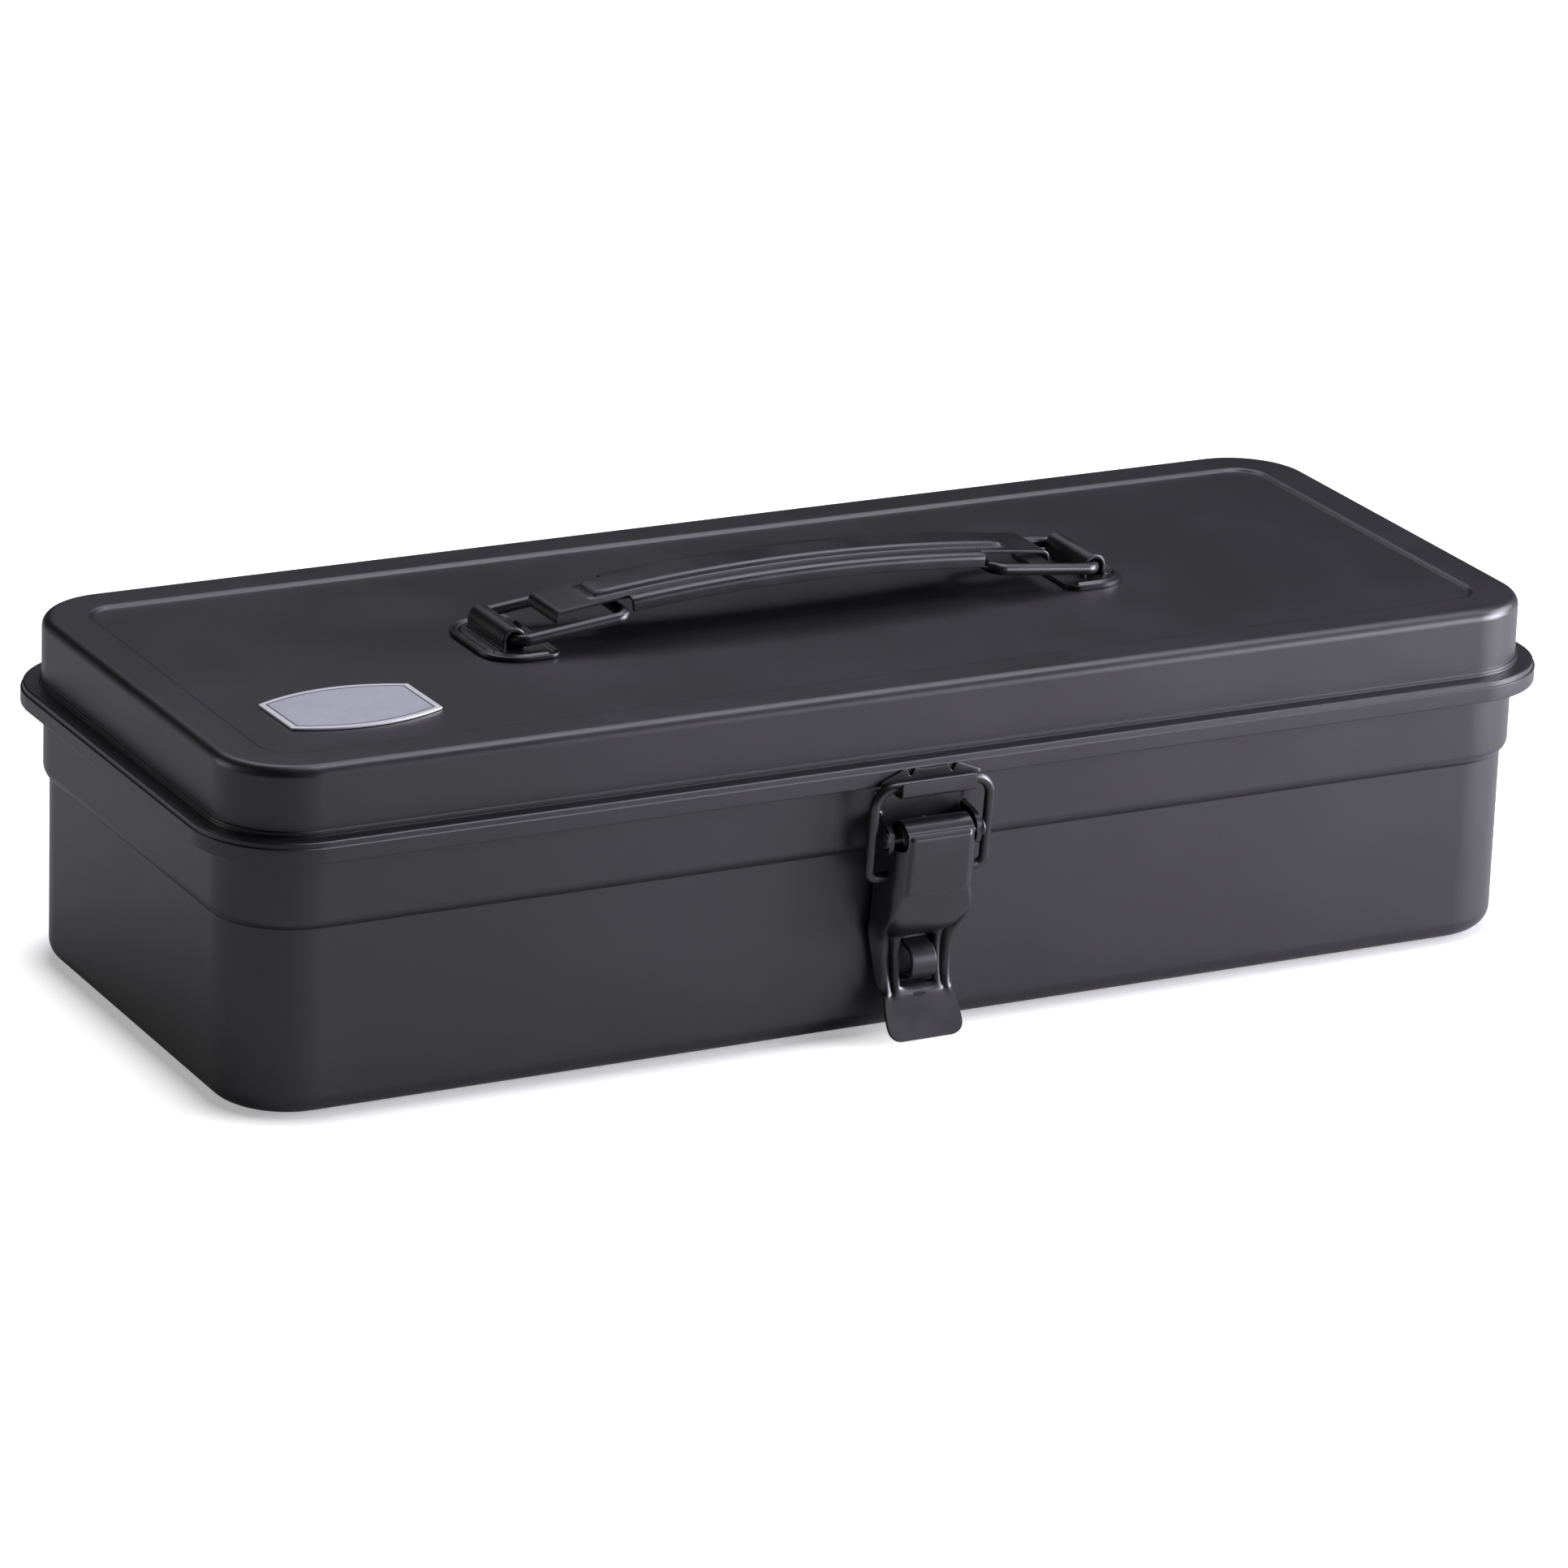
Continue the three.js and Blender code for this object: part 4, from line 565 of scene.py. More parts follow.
class Form:
    """A piece under construction, shaped by bmesh operators."""

    def __init__(self) -> None:
        """Starts with nothing."""
        self.bm = bmesh.new()

    def chain(self, points: Iterable[Sequence[float]], closed: bool = False) -> Edges:
        """Lays a chain of edges.

        Args:
            points: The corners of the chain.
            closed: Whether the last corner joins the first.

        Returns:
            The edges.
        """
        verts = [self.bm.verts.new(point) for point in points]
        ends = verts[1:] + verts[:1] if closed else verts[1:]
        return [self.bm.edges.new(pair) for pair in zip(verts, ends)]

    def bent(self, bends: Sequence[Bend], at: Callable[[float, float], Sequence[float]],
             steps: int = 6, closed: bool = False) -> Edges:
        """Lays a flat chain and rounds its corners.

        Args:
            bends: Each corner's two coordinates and its radius.
            at: Gives a corner's place from its two coordinates.
            steps: How many edges make a full quarter turn.
            closed: Whether the last corner joins the first.

        Returns:
            The edges of the rounded chain.
        """
        before = set(self.bm.edges)
        edges = self.chain([at(a, b) for a, b, _ in bends], closed)
        verts = [edge.verts[0] for edge in edges] + ([] if closed else [edges[-1].verts[1]])
        for vert, (_, _, radius) in zip(verts, bends):
            if radius > 0 and len(vert.link_edges) == 2:
                self.round_corner(vert, radius, steps)
        return [edge for edge in self.bm.edges if edge not in before]

    def round_corner(self, vert: bmesh.types.BMVert, radius: float, steps: int) -> None:
        """Rounds a corner between two edges, on a chain or at the rim of a sheet.

        Args:
            vert: The corner.
            radius: Its radius.
            steps: How many edges make a full quarter turn.
        """
        ways = [(edge.other_vert(vert).co - vert.co).normalized() for edge in vert.link_edges]
        turn = math.pi - ways[0].angle(ways[1])
        count = max(2, round(steps * turn / (math.pi / 2)))
        bmesh.ops.bevel(self.bm, geom=[vert], offset=radius * math.tan(turn / 2), offset_type="OFFSET",
                        segments=count, profile=0.5, affect="VERTICES", material=-1)

    def pull(self, edges: Edges, move: Sequence[float]) -> Edges:
        """Extrudes edges and moves what is new.

        Args:
            edges: The edges to extrude.
            move: How far the new edges go.

        Returns:
            The new edges at the far side.
        """
        made = bmesh.ops.extrude_edge_only(self.bm, edges=edges)["geom"]
        verts = [item for item in made if isinstance(item, bmesh.types.BMVert)]
        bmesh.ops.translate(self.bm, verts=verts, vec=Vector(move))
        fresh = set(verts)
        return [item for item in made if isinstance(item, bmesh.types.BMEdge) and set(item.verts) <= fresh]

    def pull_each(self, edges: Edges, to: Callable[[Vector], Sequence[float]]) -> Edges:
        """Extrudes edges and sends each new vertex to its own place.

        Args:
            edges: The edges to extrude.
            to: Gives the new place of a vertex from its old one.

        Returns:
            The new edges at the far side.
        """
        far = self.pull(edges, (0, 0, 0))
        for vert in unique(vert for edge in far for vert in edge.verts):
            bmesh.ops.translate(self.bm, verts=[vert], vec=Vector(to(vert.co.copy())) - vert.co)
        return far

    def turn(self, edges: Edges, centre: Sequence[float], axis: Vector, degrees: float, steps: int) -> Edges:
        """Spins edges about an axis.

        Args:
            edges: The edges to spin.
            centre: A point on the axis.
            axis: The way of the axis.
            degrees: The angle of the spin.
            steps: How many faces it has.

        Returns:
            The edges at the far side.
        """
        verts = unique(vert for edge in edges for vert in edge.verts)
        made = bmesh.ops.spin(self.bm, geom=verts + list(edges), cent=Vector(centre), axis=axis,
                              dvec=Vector((0, 0, 0)), angle=math.radians(degrees), steps=steps,
                              use_merge=False, use_normal_flip=False, use_duplicate=False)["geom_last"]
        return [item for item in made if isinstance(item, bmesh.types.BMEdge)]

    def turned(self, bends: Sequence[Bend], place: Sequence[float], axis: Axis, way: int = 1,
               steps: int = 32) -> None:
        """Turns a profile all the way round, as on a lathe.

        Args:
            bends: The distance along the axis, the distance from it and the radius of each corner.
            place: The point on the axis that the distances start from.
            axis: The axis.
            way: One along the axis, or minus one against it.
            steps: How many faces there are round the piece.
        """
        start = Vector(place)
        out = Axis.Z.vector if axis is not Axis.Z else Axis.X.vector
        edges = self.bent(bends, lambda a, r: start + axis.vector * a * way + out * r, steps=4)
        verts = unique(vert for edge in edges for vert in edge.verts)
        bmesh.ops.spin(self.bm, geom=verts + edges, cent=start, axis=axis.vector, dvec=Vector((0, 0, 0)),
                       angle=math.tau, steps=steps, use_merge=True, use_normal_flip=False,
                       use_duplicate=False)
        self.close()

    def run(self, section: Edges, route: Sequence[Vector], radii: Sequence[float], steps: int = 8) -> Edges:
        """Runs a section along a route whose corners are rounded.

        Args:
            section: The edges of the section, which stand at the start of the route.
            route: The corners of the route with its two ends.
            radii: The radius of each corner between the ends.
            steps: How many faces make a full quarter turn.

        Returns:
            The edges at the end of the route.
        """
        ways = [(b - a).normalized() for a, b in zip(route, route[1:])]
        turns = [a.angle(b) for a, b in zip(ways, ways[1:])]
        cuts = [0.0, *(radius * math.tan(turn / 2) for radius, turn in zip(radii, turns)), 0.0]
        edges = section
        for index, way in enumerate(ways):
            length = (route[index + 1] - route[index]).length - cuts[index] - cuts[index + 1]
            edges = self.pull(edges, way * length)
            if index < len(turns):
                after = ways[index + 1]
                axis = way.cross(after).normalized()
                corner = route[index + 1] - way * cuts[index + 1]
                centre = corner + axis.cross(way) * radii[index]
                count = max(2, round(steps * turns[index] / (math.pi / 2)))
                edges = self.turn(edges, centre, axis, math.degrees(turns[index]), count)
        return edges

    def wire(self, route: Sequence[Vector], radii: Sequence[float], diameter: float, sides: int = 16) -> None:
        """Bends a round wire along a route and rounds its two ends off.

        Args:
            route: The corners of the route with its two ends.
            radii: The radius of each bend.
            diameter: The diameter of the wire.
            sides: How many faces there are round it.
        """
        way = (route[1] - route[0]).normalized()
        spot = Matrix.Translation(route[0]) @ way.to_track_quat("Z", "Y").to_matrix().to_4x4()
        disc = bmesh.ops.create_circle(self.bm, cap_ends=True, segments=sides, radius=diameter / 2,
                                       matrix=spot)
        rim = unique(edge for vert in disc["verts"] for edge in vert.link_edges)
        last = self.run(rim, route, radii)
        bmesh.ops.edgeloop_fill(self.bm, edges=last)
        bmesh.ops.bevel(self.bm, geom=rim + last, offset=diameter * WIRE_END, offset_type="OFFSET",
                        segments=3, profile=0.5, affect="EDGES", material=-1)
        self.close()

    def wall(self, line: Sequence[Bend], half_x: float, half_y: float, radius: float,
             steps: int = 24) -> None:
        """Sweeps a wall section once round a rectangle with rounded corners.

        Args:
            line: The inset, the height and the radius of each corner of the section.
            half_x: Half the length of the rectangle.
            half_y: Half its depth.
            radius: The radius of its corners.
            steps: How many faces there are in each corner.
        """
        reach_x = half_x - radius
        reach_y = half_y - radius
        edges = self.bent(line, lambda inset, z: (-reach_x, inset - half_y, z), steps=8)
        legs = [((2 * reach_x, 0), (reach_x, -reach_y)), ((0, 2 * reach_y), (reach_x, reach_y)),
                ((-2 * reach_x, 0), (-reach_x, reach_y)), ((0, -2 * reach_y), (-reach_x, -reach_y))]
        for leg, centre in legs:
            edges = self.pull(edges, (*leg, 0))
            edges = self.turn(edges, (*centre, 0), Axis.Z.vector, 90, steps)
        self.close()

    def fill_rim(self, height: float) -> None:
        """Fills the open loop that lies at a height.

        Args:
            height: The height of the loop.
        """
        loop = [edge for edge in self.bm.edges if edge.is_boundary
                and all(abs(vert.co.z - height) < MERGE for vert in edge.verts)]
        bmesh.ops.edgeloop_fill(self.bm, edges=loop)
        self.close()

    def close(self) -> None:
        """Merges what lies together and turns the faces outwards."""
        bmesh.ops.remove_doubles(self.bm, verts=self.bm.verts, dist=MERGE)
        bmesh.ops.recalc_face_normals(self.bm, faces=self.bm.faces)

    def mirror_x(self) -> None:
        """Adds the mirror image across the middle of the length."""
        geometry = [*self.bm.verts, *self.bm.edges, *self.bm.faces]
        bmesh.ops.mirror(self.bm, geom=geometry, matrix=Matrix.Identity(4), merge_dist=MERGE, axis="X")
        self.close()

    def move(self, vector: Sequence[float]) -> None:
        """Moves the whole form."""
        bmesh.ops.translate(self.bm, verts=self.bm.verts, vec=Vector(vector))

    def make(self, name: str, look: Look, thickness: float = 0.0, offset: float = 0.0, edge: float = 0.0,
             levels: int = 0, edge_angle: float = 40.0) -> bpy.types.Object:
        """Turns the form into a piece of the scene.

        Args:
            name: The name of the piece.
            look: Its body, material and the nodes that it stands for; its slot is not used.
            thickness: The thickness of the sheet, or zero for a solid form.
            offset: Where the sheet lies about the form, from minus one inwards to one outwards.
            edge: The width of the bevel on sharp edges, or zero for none.
            levels: How many times the form is subdivided before it gets its thickness.
            edge_angle: The angle in degrees past which an edge is bevelled.

        Returns:
            The piece.
        """
        bmesh.ops.scale(self.bm, verts=self.bm.verts, vec=(MM, MM, MM))
        mesh = bpy.data.meshes.new(name)
        self.bm.to_mesh(mesh)
        self.bm.free()
        mesh.polygons.foreach_set("use_smooth", [True] * len(mesh.polygons))
        piece = bpy.data.objects.new(name, mesh)
        bpy.context.scene.collection.objects.link(piece)
        if levels:
            rounder = piece.modifiers.new("rounding", "SUBSURF")
            rounder.levels = levels
            rounder.render_levels = levels
            rounder.boundary_smooth = "PRESERVE_CORNERS"
        if thickness:
            sheet = piece.modifiers.new("sheet", "SOLIDIFY")
            sheet.thickness = thickness * MM
            sheet.offset = offset
            sheet.use_even_offset = True
        if edge:
            rim = piece.modifiers.new("edges", "BEVEL")
            rim.width = edge * MM
            rim.segments = 2
            rim.limit_method = "ANGLE"
            rim.angle_limit = math.radians(edge_angle)
        weights = piece.modifiers.new("shading", "WEIGHTED_NORMAL")
        weights.keep_sharp = True
        mesh.materials.append(look.material)
        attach(piece, look.body)
        if look.replaces:
            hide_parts(*look.replaces)
        LOG.info("made %s on %s", name, look.body)
        return piece


# The box


@dataclass
class Tub:
    """The drawn tub: a stepped wall with a rounded floor edge and a hem turned out round its rim."""

    finishes: Finishes
    half_length: float = 161.7
    half_depth: float = 63.6
    corner: float = 19.0
    height: float = 64.0
    sheet: float = 0.8
    floor_inset: float = 9.0
    floor_bend: float = 4.7
    ledge_end: float = 1.1
    ledge_front: float = 2.0
    ledge_foot: float = 43.3
    ledge_foot_bend: float = 0.4
    ledge_top: float = 45.0
    ledge_top_bend: float = 3.2
    hem_width: float = 2.2
    hem_height: float = 2.4
    hem_bend: float = 0.6
    edge: float = 0.15

    def build(self) -> None:
        """Builds the tub."""
        form = Form()
        half = self.sheet / 2
        form.wall([
            (self.floor_inset, half, 0),
            (self.ledge_end + half, half, self.floor_bend - half),
            (self.ledge_end + half, self.ledge_foot, self.ledge_foot_bend),
            (half, self.ledge_top, self.ledge_top_bend),
            (half, self.height - half, self.hem_bend),
            (half - self.hem_width, self.height - half, self.hem_bend),
            (half - self.hem_width, self.height - self.hem_height, 0),
        ], self.half_length, self.half_depth, self.corner)
        self._deepen_ledge(form)
        form.fill_rim(half)
        form.make("tub_shell", self.finishes.coated("box", "body_tub"), self.sheet, edge=self.edge)

    def _deepen_ledge(self, form: Form) -> None:
        """Draws the front and the back in under the ledge, which is deeper there than at the ends.

        Args:
            form: The swept wall.
        """
        deeper = self.ledge_front - self.ledge_end
        levels: dict[float, list[bmesh.types.BMVert]] = {}
        for vert in form.bm.verts:
            if vert.co.z < self.height / 2 + self.ledge_foot / 2:
                levels.setdefault(round(vert.co.z, 3), []).append(vert)
        for level, verts in levels.items():
            inset = min(self.half_depth + vert.co.y for vert in verts)
            under = level < self.ledge_foot - 1
            share = 1.0 if under else max(0.0, (inset - self.sheet / 2) / self.ledge_end)
            for side in Side:
                part = [vert for vert in verts if vert.co.y * side.value > 0]
                bmesh.ops.translate(form.bm, verts=part, vec=(0, -side.value * deeper * share, 0))


@dataclass
class Lid:
    """The drawn lid: a sunken panel, rounded shoulders, a flat flange and a lip turned down over the rim.

    Small steps are pressed into the sheet at the foot of the wall, at the edge of the flange and in the lip.
    Each is a row of narrow facets, given by their width and by their slope in degrees.
    """

    finishes: Finishes
    half_length: float = 166.5
    half_depth: float = 68.5
    corner: float = 22.8
    top: float = 80.5
    flange_top: float = 65.1
    flange_bend: float = 0.2
    lip_bottom: float = 60.3
    lip_bend: float = 0.35
    lip_inner_bend: float = 0.5
    sheet: float = 0.8
    wall_inset: float = 4.7
    wall_foot_bend: float = 1.5
    shoulder_bend: float = 2.5
    foot_rise: float = 1.3
    lip_step: float = 1.15
    facets: tuple[tuple[float, float], ...] = ((0.12, 25.0), (0.34, 31.0), (0.12, 37.0))
    panel_border: float = 10.6
    panel_slope: float = 0.9
    panel_drop: float = 0.7
    panel_reach: float = 1.2
    panel_top_bend: float = 1.5
    panel_foot_bend: float = 0.5

    def build(self) -> None:
        """Builds the lid, whose section runs down its outside and back up its inside."""
        form = Form()
        sheet = self.sheet
        panel_edge = self.wall_inset + self.panel_border
        panel_inset = panel_edge + self.panel_slope
        panel_top = self.top - self.panel_drop
        reach = sum(length * math.cos(math.radians(slope)) for length, slope in self.facets)
        outside = [
            (panel_inset + self.panel_reach, panel_top, 0),
            (panel_inset, panel_top, self.panel_foot_bend),
            (panel_inset - self.panel_slope, self.top, self.panel_top_bend),
            (self.wall_inset, self.top, self.shoulder_bend),
            *self._step(self.wall_inset, self.flange_top + self.foot_rise),
            (self.wall_inset - reach, self.flange_top, self.flange_bend),
            *self._step(2 * reach, self.flange_top),
            *self._step(reach, self.flange_top - self.lip_step),
            (0, self.lip_bottom, self.lip_bend),
        ]
        inside = [
            (sheet, self.lip_bottom, self.lip_bend),
            (sheet, self.flange_top - sheet, self.lip_inner_bend),
            (self.wall_inset + sheet, self.flange_top - sheet, self.wall_foot_bend),
            (self.wall_inset + sheet, self.top - sheet, self.shoulder_bend - sheet),
            (panel_inset - self.panel_slope, self.top - sheet, self.panel_top_bend - sheet),
            (panel_inset, panel_top - sheet, self.panel_foot_bend + sheet),
            (panel_inset + self.panel_reach, panel_top - sheet, 0),
        ]
        form.wall(outside + inside, self.half_length, self.half_depth, self.corner)
        form.fill_rim(panel_top)
        form.fill_rim(panel_top - sheet)
        form.make("lid_shell", self.finishes.coated("lid", "lid_pan"))

    def _step(self, inset: float, z: float) -> list[Bend]:
        """Gives the corners of a small pressed step that leads outwards and down.

        Args:
            inset: How far in the step starts.
            z: The height that it starts at.

        Returns:
            The corners, from the first to the last.
        """
        corners = [(inset, z, 0.0)]
        for length, slope in self.facets:
            inset -= length * math.cos(math.radians(slope))
            z -= length * math.sin(math.radians(slope))
            corners.append((inset, z, 0.0))
        return corners


@dataclass
class Label:
    """The thin blank plate near the lid's front left corner, whose long edges bow out."""

    x: float = -122.0
    y: float = -29.2
    bottom: float = 79.9
    half_length: float = 18.0
    half_width: float = 8.5
    bow: float = 4.4
    thickness: float = 0.5
    turn: float = 1.5
    edge: float = 0.12

    def build(self) -> None:
        """Builds the plate."""
        form = Form()
        bmesh.ops.create_grid(form.bm, x_segments=24, y_segments=8, size=1.0)
        bmesh.ops.scale(form.bm, verts=form.bm.verts, vec=(self.half_length, self.half_width, 1))
        for vert in form.bm.verts:
            share_x, share_y = vert.co.x / self.half_length, vert.co.y / self.half_width
            bmesh.ops.translate(form.bm, verts=[vert], vec=(0, self.bow * share_y * (1 - share_x ** 2), 0))
        bmesh.ops.rotate(form.bm, verts=form.bm.verts, cent=(0, 0, 0),
                         matrix=Matrix.Rotation(math.radians(self.turn), 3, "Z"))
        form.move((self.x, self.y, self.bottom + self.thickness))
        finish = BrushedPlate((self.x, self.y, self.bottom), self.half_length, self.half_width, self.bow,
                              self.turn)
        form.make("label_blank", Look("lid", "label_plate", finish.build(), ("label_plate",)),
                  self.thickness, offset=-1.0, edge=self.edge)


@dataclass
class Handle:
    """The carrying handle: a channel grip on two wire rings that turn in two rolled knuckles.

    The rim of a bracket is given by the inset and the rise of each of its steps.
    """

    finishes: Finishes
    ring_x: float = 73.4
    ring_z: float = 83.0
    ring_wire: float = 2.7
    ring_span: float = 21.6
    ring_spacing: float = 27.4
    ring_rise: float = 3.0
    ring_corner: float = 3.0
    butt_gap: float = 0.6
    grip_top: float = 91.8
    grip_half_width: float = 9.7
    grip_height: float = 3.3
    grip_sheet: float = 0.8
    grip_bend: float = 1.6
    grip_edge: float = 0.18
    arch: float = 460.0
    rib_half_foot: float = 4.6
    rib_half_top: float = 3.7
    rib_height: float = 1.2
    rib_bend: float = 0.9
    rib_spread: float = 0.4
    rib_end: float = 53.1
    rib_run_out: float = 2.6
    flange_end: float = 44.6
    tongue_half: float = 7.2
    tongue_end: float = 62.6
    tongue_bend: float = 1.5
    tongue_turn: float = 80.0
    tongue_tip: tuple[float, float, float] = (0.2, 0.0, -1.0)
    bracket_seat: float = 79.9
    bracket_sheet: float = 1.0
    bracket_half: float = 15.2
    bracket_outer: float = 7.7
    bracket_outer_corner: float = 9.0
    bracket_inner: float = 9.4
    bracket_inner_corner: float = 3.0
    rim: tuple[tuple[float, float], ...] = ((0.5, 0.0), (0.8, 0.5), (0.4, 0.0), (0.8, -0.5))
    rim_run_out: float = 2.6
    rim_sunk: float = 0.9
    knuckle_half: float = 9.2
    knuckle_sheet: float = 1.1
    knuckle_play: float = 0.5
    knuckle_flare: float = 1.3
    knuckle_tail: float = 1.2

    def build(self) -> None:
        """Builds the grip, the rings, the brackets and the knuckles."""
        self._grip()
        for side in Side:
            self._ring(side)
            self._bracket(side)
            self._knuckle(side)

    @property
    def arch_z(self) -> float:
        """The height of the centre of the grip's arch."""
        return self.grip_top - self.grip_sheet / 2 - self.arch

    def _arch_height(self, x: float) -> float:
        """The height of the arch at a distance from its middle."""
        return self.arch_z + math.sqrt(self.arch ** 2 - x ** 2)

    def _arch_angle(self, end: float, start: float = 0.0) -> float:
        """The angle in degrees between two places on the arch."""
        return math.degrees(math.asin(end / self.arch)) - math.degrees(math.asin(start / self.arch))

    def _grip(self) -> None:
        """Builds the grip, one half of it and then its mirror image."""
        form = Form()
        half = self.grip_sheet / 2
        top = self.grip_top - half
        outer = self.grip_half_width - half
        line = mirrored([
            (outer, self.grip_top - self.grip_height, 0),
            (outer, top, self.grip_bend - half),
            (self.tongue_half, top, 0),
            (self.rib_half_foot, top, self.rib_bend),
            (self.rib_half_top, top + self.rib_height, self.rib_bend),
        ])
        centre = (0, 0, self.arch_z)
        across = Axis.Y.vector
        section = form.bent(line, lambda y, z: (0, y, z))
        section = form.turn(section, centre, across, self._arch_angle(self.flange_end), 22)
        tongue = [edge for edge in section
                  if all(abs(vert.co.y) <= self.tongue_half + MERGE for vert in edge.verts)]
        rib_start = self.rib_end - self.rib_run_out
        tongue = form.turn(tongue, centre, across, self._arch_angle(rib_start, self.flange_end), 3)
        for share in (0.3, 0.7, 1.0):
            x = rib_start + (self.rib_end - rib_start) * share
            tongue = form.pull_each(tongue, self._sink_rib(x, (1 - share) ** 1.5))
        end_x = self.rib_end + (self.tongue_end - half - self.tongue_bend - self.rib_end)
        tongue = form.turn(tongue, centre, across, self._arch_angle(end_x, self.rib_end), 3)
        bend = (end_x, 0, self._arch_height(end_x) - self.tongue_bend)
        tongue = form.turn(tongue, bend, across, self.tongue_turn, 5)
        form.pull(tongue, self.tongue_tip)
        form.close()
        form.mirror_x()
        form.make("grip_channel", self.finishes.enamelled("grip", "handle_grip"), self.grip_sheet,
                  edge=self.grip_edge)

    def _sink_rib(self, x: float, rise: float) -> Rule:
        """Gives the rule by which the rib runs out towards the tongue.

        Args:
            x: Where the next row of vertices stands.
            rise: The share of the rib's height that is left.

        Returns:
            A function from a vertex's place to its new one.
        """
        base = self._arch_height(x)
        foot = self.rib_half_foot + self.rib_spread
        slope = self.rib_half_foot - self.rib_half_top + 2 * self.rib_spread

        def place(spot: Vector) -> Sequence[float]:
            """The new place of one vertex."""
            crown = max(0.0, min(1.0, (foot - abs(spot.y)) / slope))
            return (x, spot.y, base + self.rib_height * rise * crown)
        return place

    def _ring(self, side: Side) -> None:
        """Builds one wire ring, whose ends meet in its inner bar.

        Args:
            side: The end of the handle that it is at.
        """
        lean = math.asin(self.ring_rise / self.ring_spacing)
        inwards = Vector((-side.value * math.cos(lean), 0, math.sin(lean)))
        hinge = Vector((side.value * self.ring_x, 0, self.ring_z))
        half = self.ring_span / 2
        far = self.ring_spacing
        butt = self.butt_gap / 2
        corners = ((far, butt), (far, half), (0, half), (0, -half), (far, -half), (far, -butt))
        form = Form()
        form.wire([hinge + inwards * along + Vector((0, across, 0)) for along, across in corners],
                  [self.ring_corner] * 4, self.ring_wire)
        look = self.finishes.enamelled(f"ring_{side.label}", f"handle_ring_{side.label}")
        form.make(f"ring_wire_{side.label}", look)

    def _bracket(self, side: Side) -> None:
        """Builds the plate of one bracket, with its raised rim.

        Args:
            side: The end of the handle that it is at.
        """
        form = Form()
        out = side.value
        half = self.bracket_half
        inner = (-self.bracket_inner, half, self.bracket_inner_corner)
        outer = (self.bracket_outer, half, self.bracket_outer_corner)
        corners = [(a, b * way, radius)
                   for (a, b, radius), way in ((inner, -1), (outer, -1), (outer, 1), (inner, 1))]
        loop = form.bent(corners, lambda a, b: (out * (self.ring_x + a), b, self.bracket_seat), 8, True)
        plate = bmesh.ops.edgeloop_fill(form.bm, edges=loop)["faces"]
        raised = bmesh.ops.extrude_face_region(form.bm, geom=plate)["geom"]
        lifted = [item for item in raised if isinstance(item, bmesh.types.BMVert)]
        bmesh.ops.translate(form.bm, verts=lifted, vec=(0, 0, self.bracket_sheet))
        top = [item for item in raised if isinstance(item, bmesh.types.BMFace)]
        for inset, rise in self.rim:
            bmesh.ops.inset_region(form.bm, faces=top, thickness=inset, depth=rise, use_even_offset=True)
        run_out = self.bracket_inner - self.rim_run_out
        for vert in form.bm.verts:
            beyond = -(vert.co.x - out * self.ring_x) * out - run_out
            raised_by = vert.co.z - self.bracket_seat - self.bracket_sheet
            if beyond > 0 and raised_by > MERGE:
                bmesh.ops.translate(form.bm, verts=[vert], vec=(0, 0, -raised_by * self.rim_sunk))
        form.close()
        look = self.finishes.enamelled("lid", f"handle_bracket_{side.label}")
        form.make(f"bracket_plate_{side.label}", look, edge=0.25, edge_angle=25)

    def _knuckle(self, side: Side) -> None:
        """Builds the strap rolled over a ring's outer bar.

        Args:
            side: The end of the handle that it is at.
        """
        form = Form()
        out = side.value
        centre_x = out * self.ring_x
        radius = self.ring_wire / 2 + self.knuckle_play + self.knuckle_sheet / 2
        foot = self.bracket_seat + self.bracket_sheet / 2
        flare = self.knuckle_flare
        start_x = centre_x + out * (radius + flare + self.knuckle_tail)
        strap = form.chain([(start_x, y, foot) for y in (-self.knuckle_half, self.knuckle_half)])
        strap = form.pull(strap, (-out * self.knuckle_tail, 0, 0))
        flare_centre = (centre_x + out * (radius + flare), 0, foot + flare)
        strap = form.turn(strap, flare_centre, Axis.Y.vector, out * 90, 6)
        strap = form.pull(strap, (0, 0, self.ring_z - foot - flare))
        strap = form.turn(strap, (centre_x, 0, self.ring_z), Axis.Y.vector, -out * 180, 16)
        form.pull(strap, (0, 0, foot - self.ring_z))
        form.close()
        form.make(f"knuckle_strap_{side.label}", self.finishes.enamelled("lid"), self.knuckle_sheet, edge=0.3)


@dataclass(frozen=True)
class Row:
    """One row of the lever's pressed sheet.

    The columns are the places across one half of the front, and the steps are how far each of them stands
    forwards. The fold is where the side wall starts beside the front, and the back is where its edge lies.
    """

    y: float
    z: float
    columns: tuple[float, ...]
    steps: tuple[float, ...] = (0.0,) * 7
    fold: tuple[float, float] = (9.5, 0.0)
    back: tuple[float, float] = (9.7, -63.6)

    def wall(self, share: float) -> tuple[float, float]:
        """Where the side wall lies.

        Args:
            share: How far back it is, from zero at the fold to one at the free edge.

        Returns:
            The distance from the middle, and the depth.
        """
        return tuple(a + (b - a) * share for a, b in zip(self.fold, self.back))


# The distance out of the sheet, the radius and the bend of each corner from a rivet's shank to its crown.
RIVET_HEAD = ((0.0, 1.2, 0.0), (0.0, 2.4, 0.15), (0.9, 1.7, 0.9), (0.9, 0.0, 0.0))


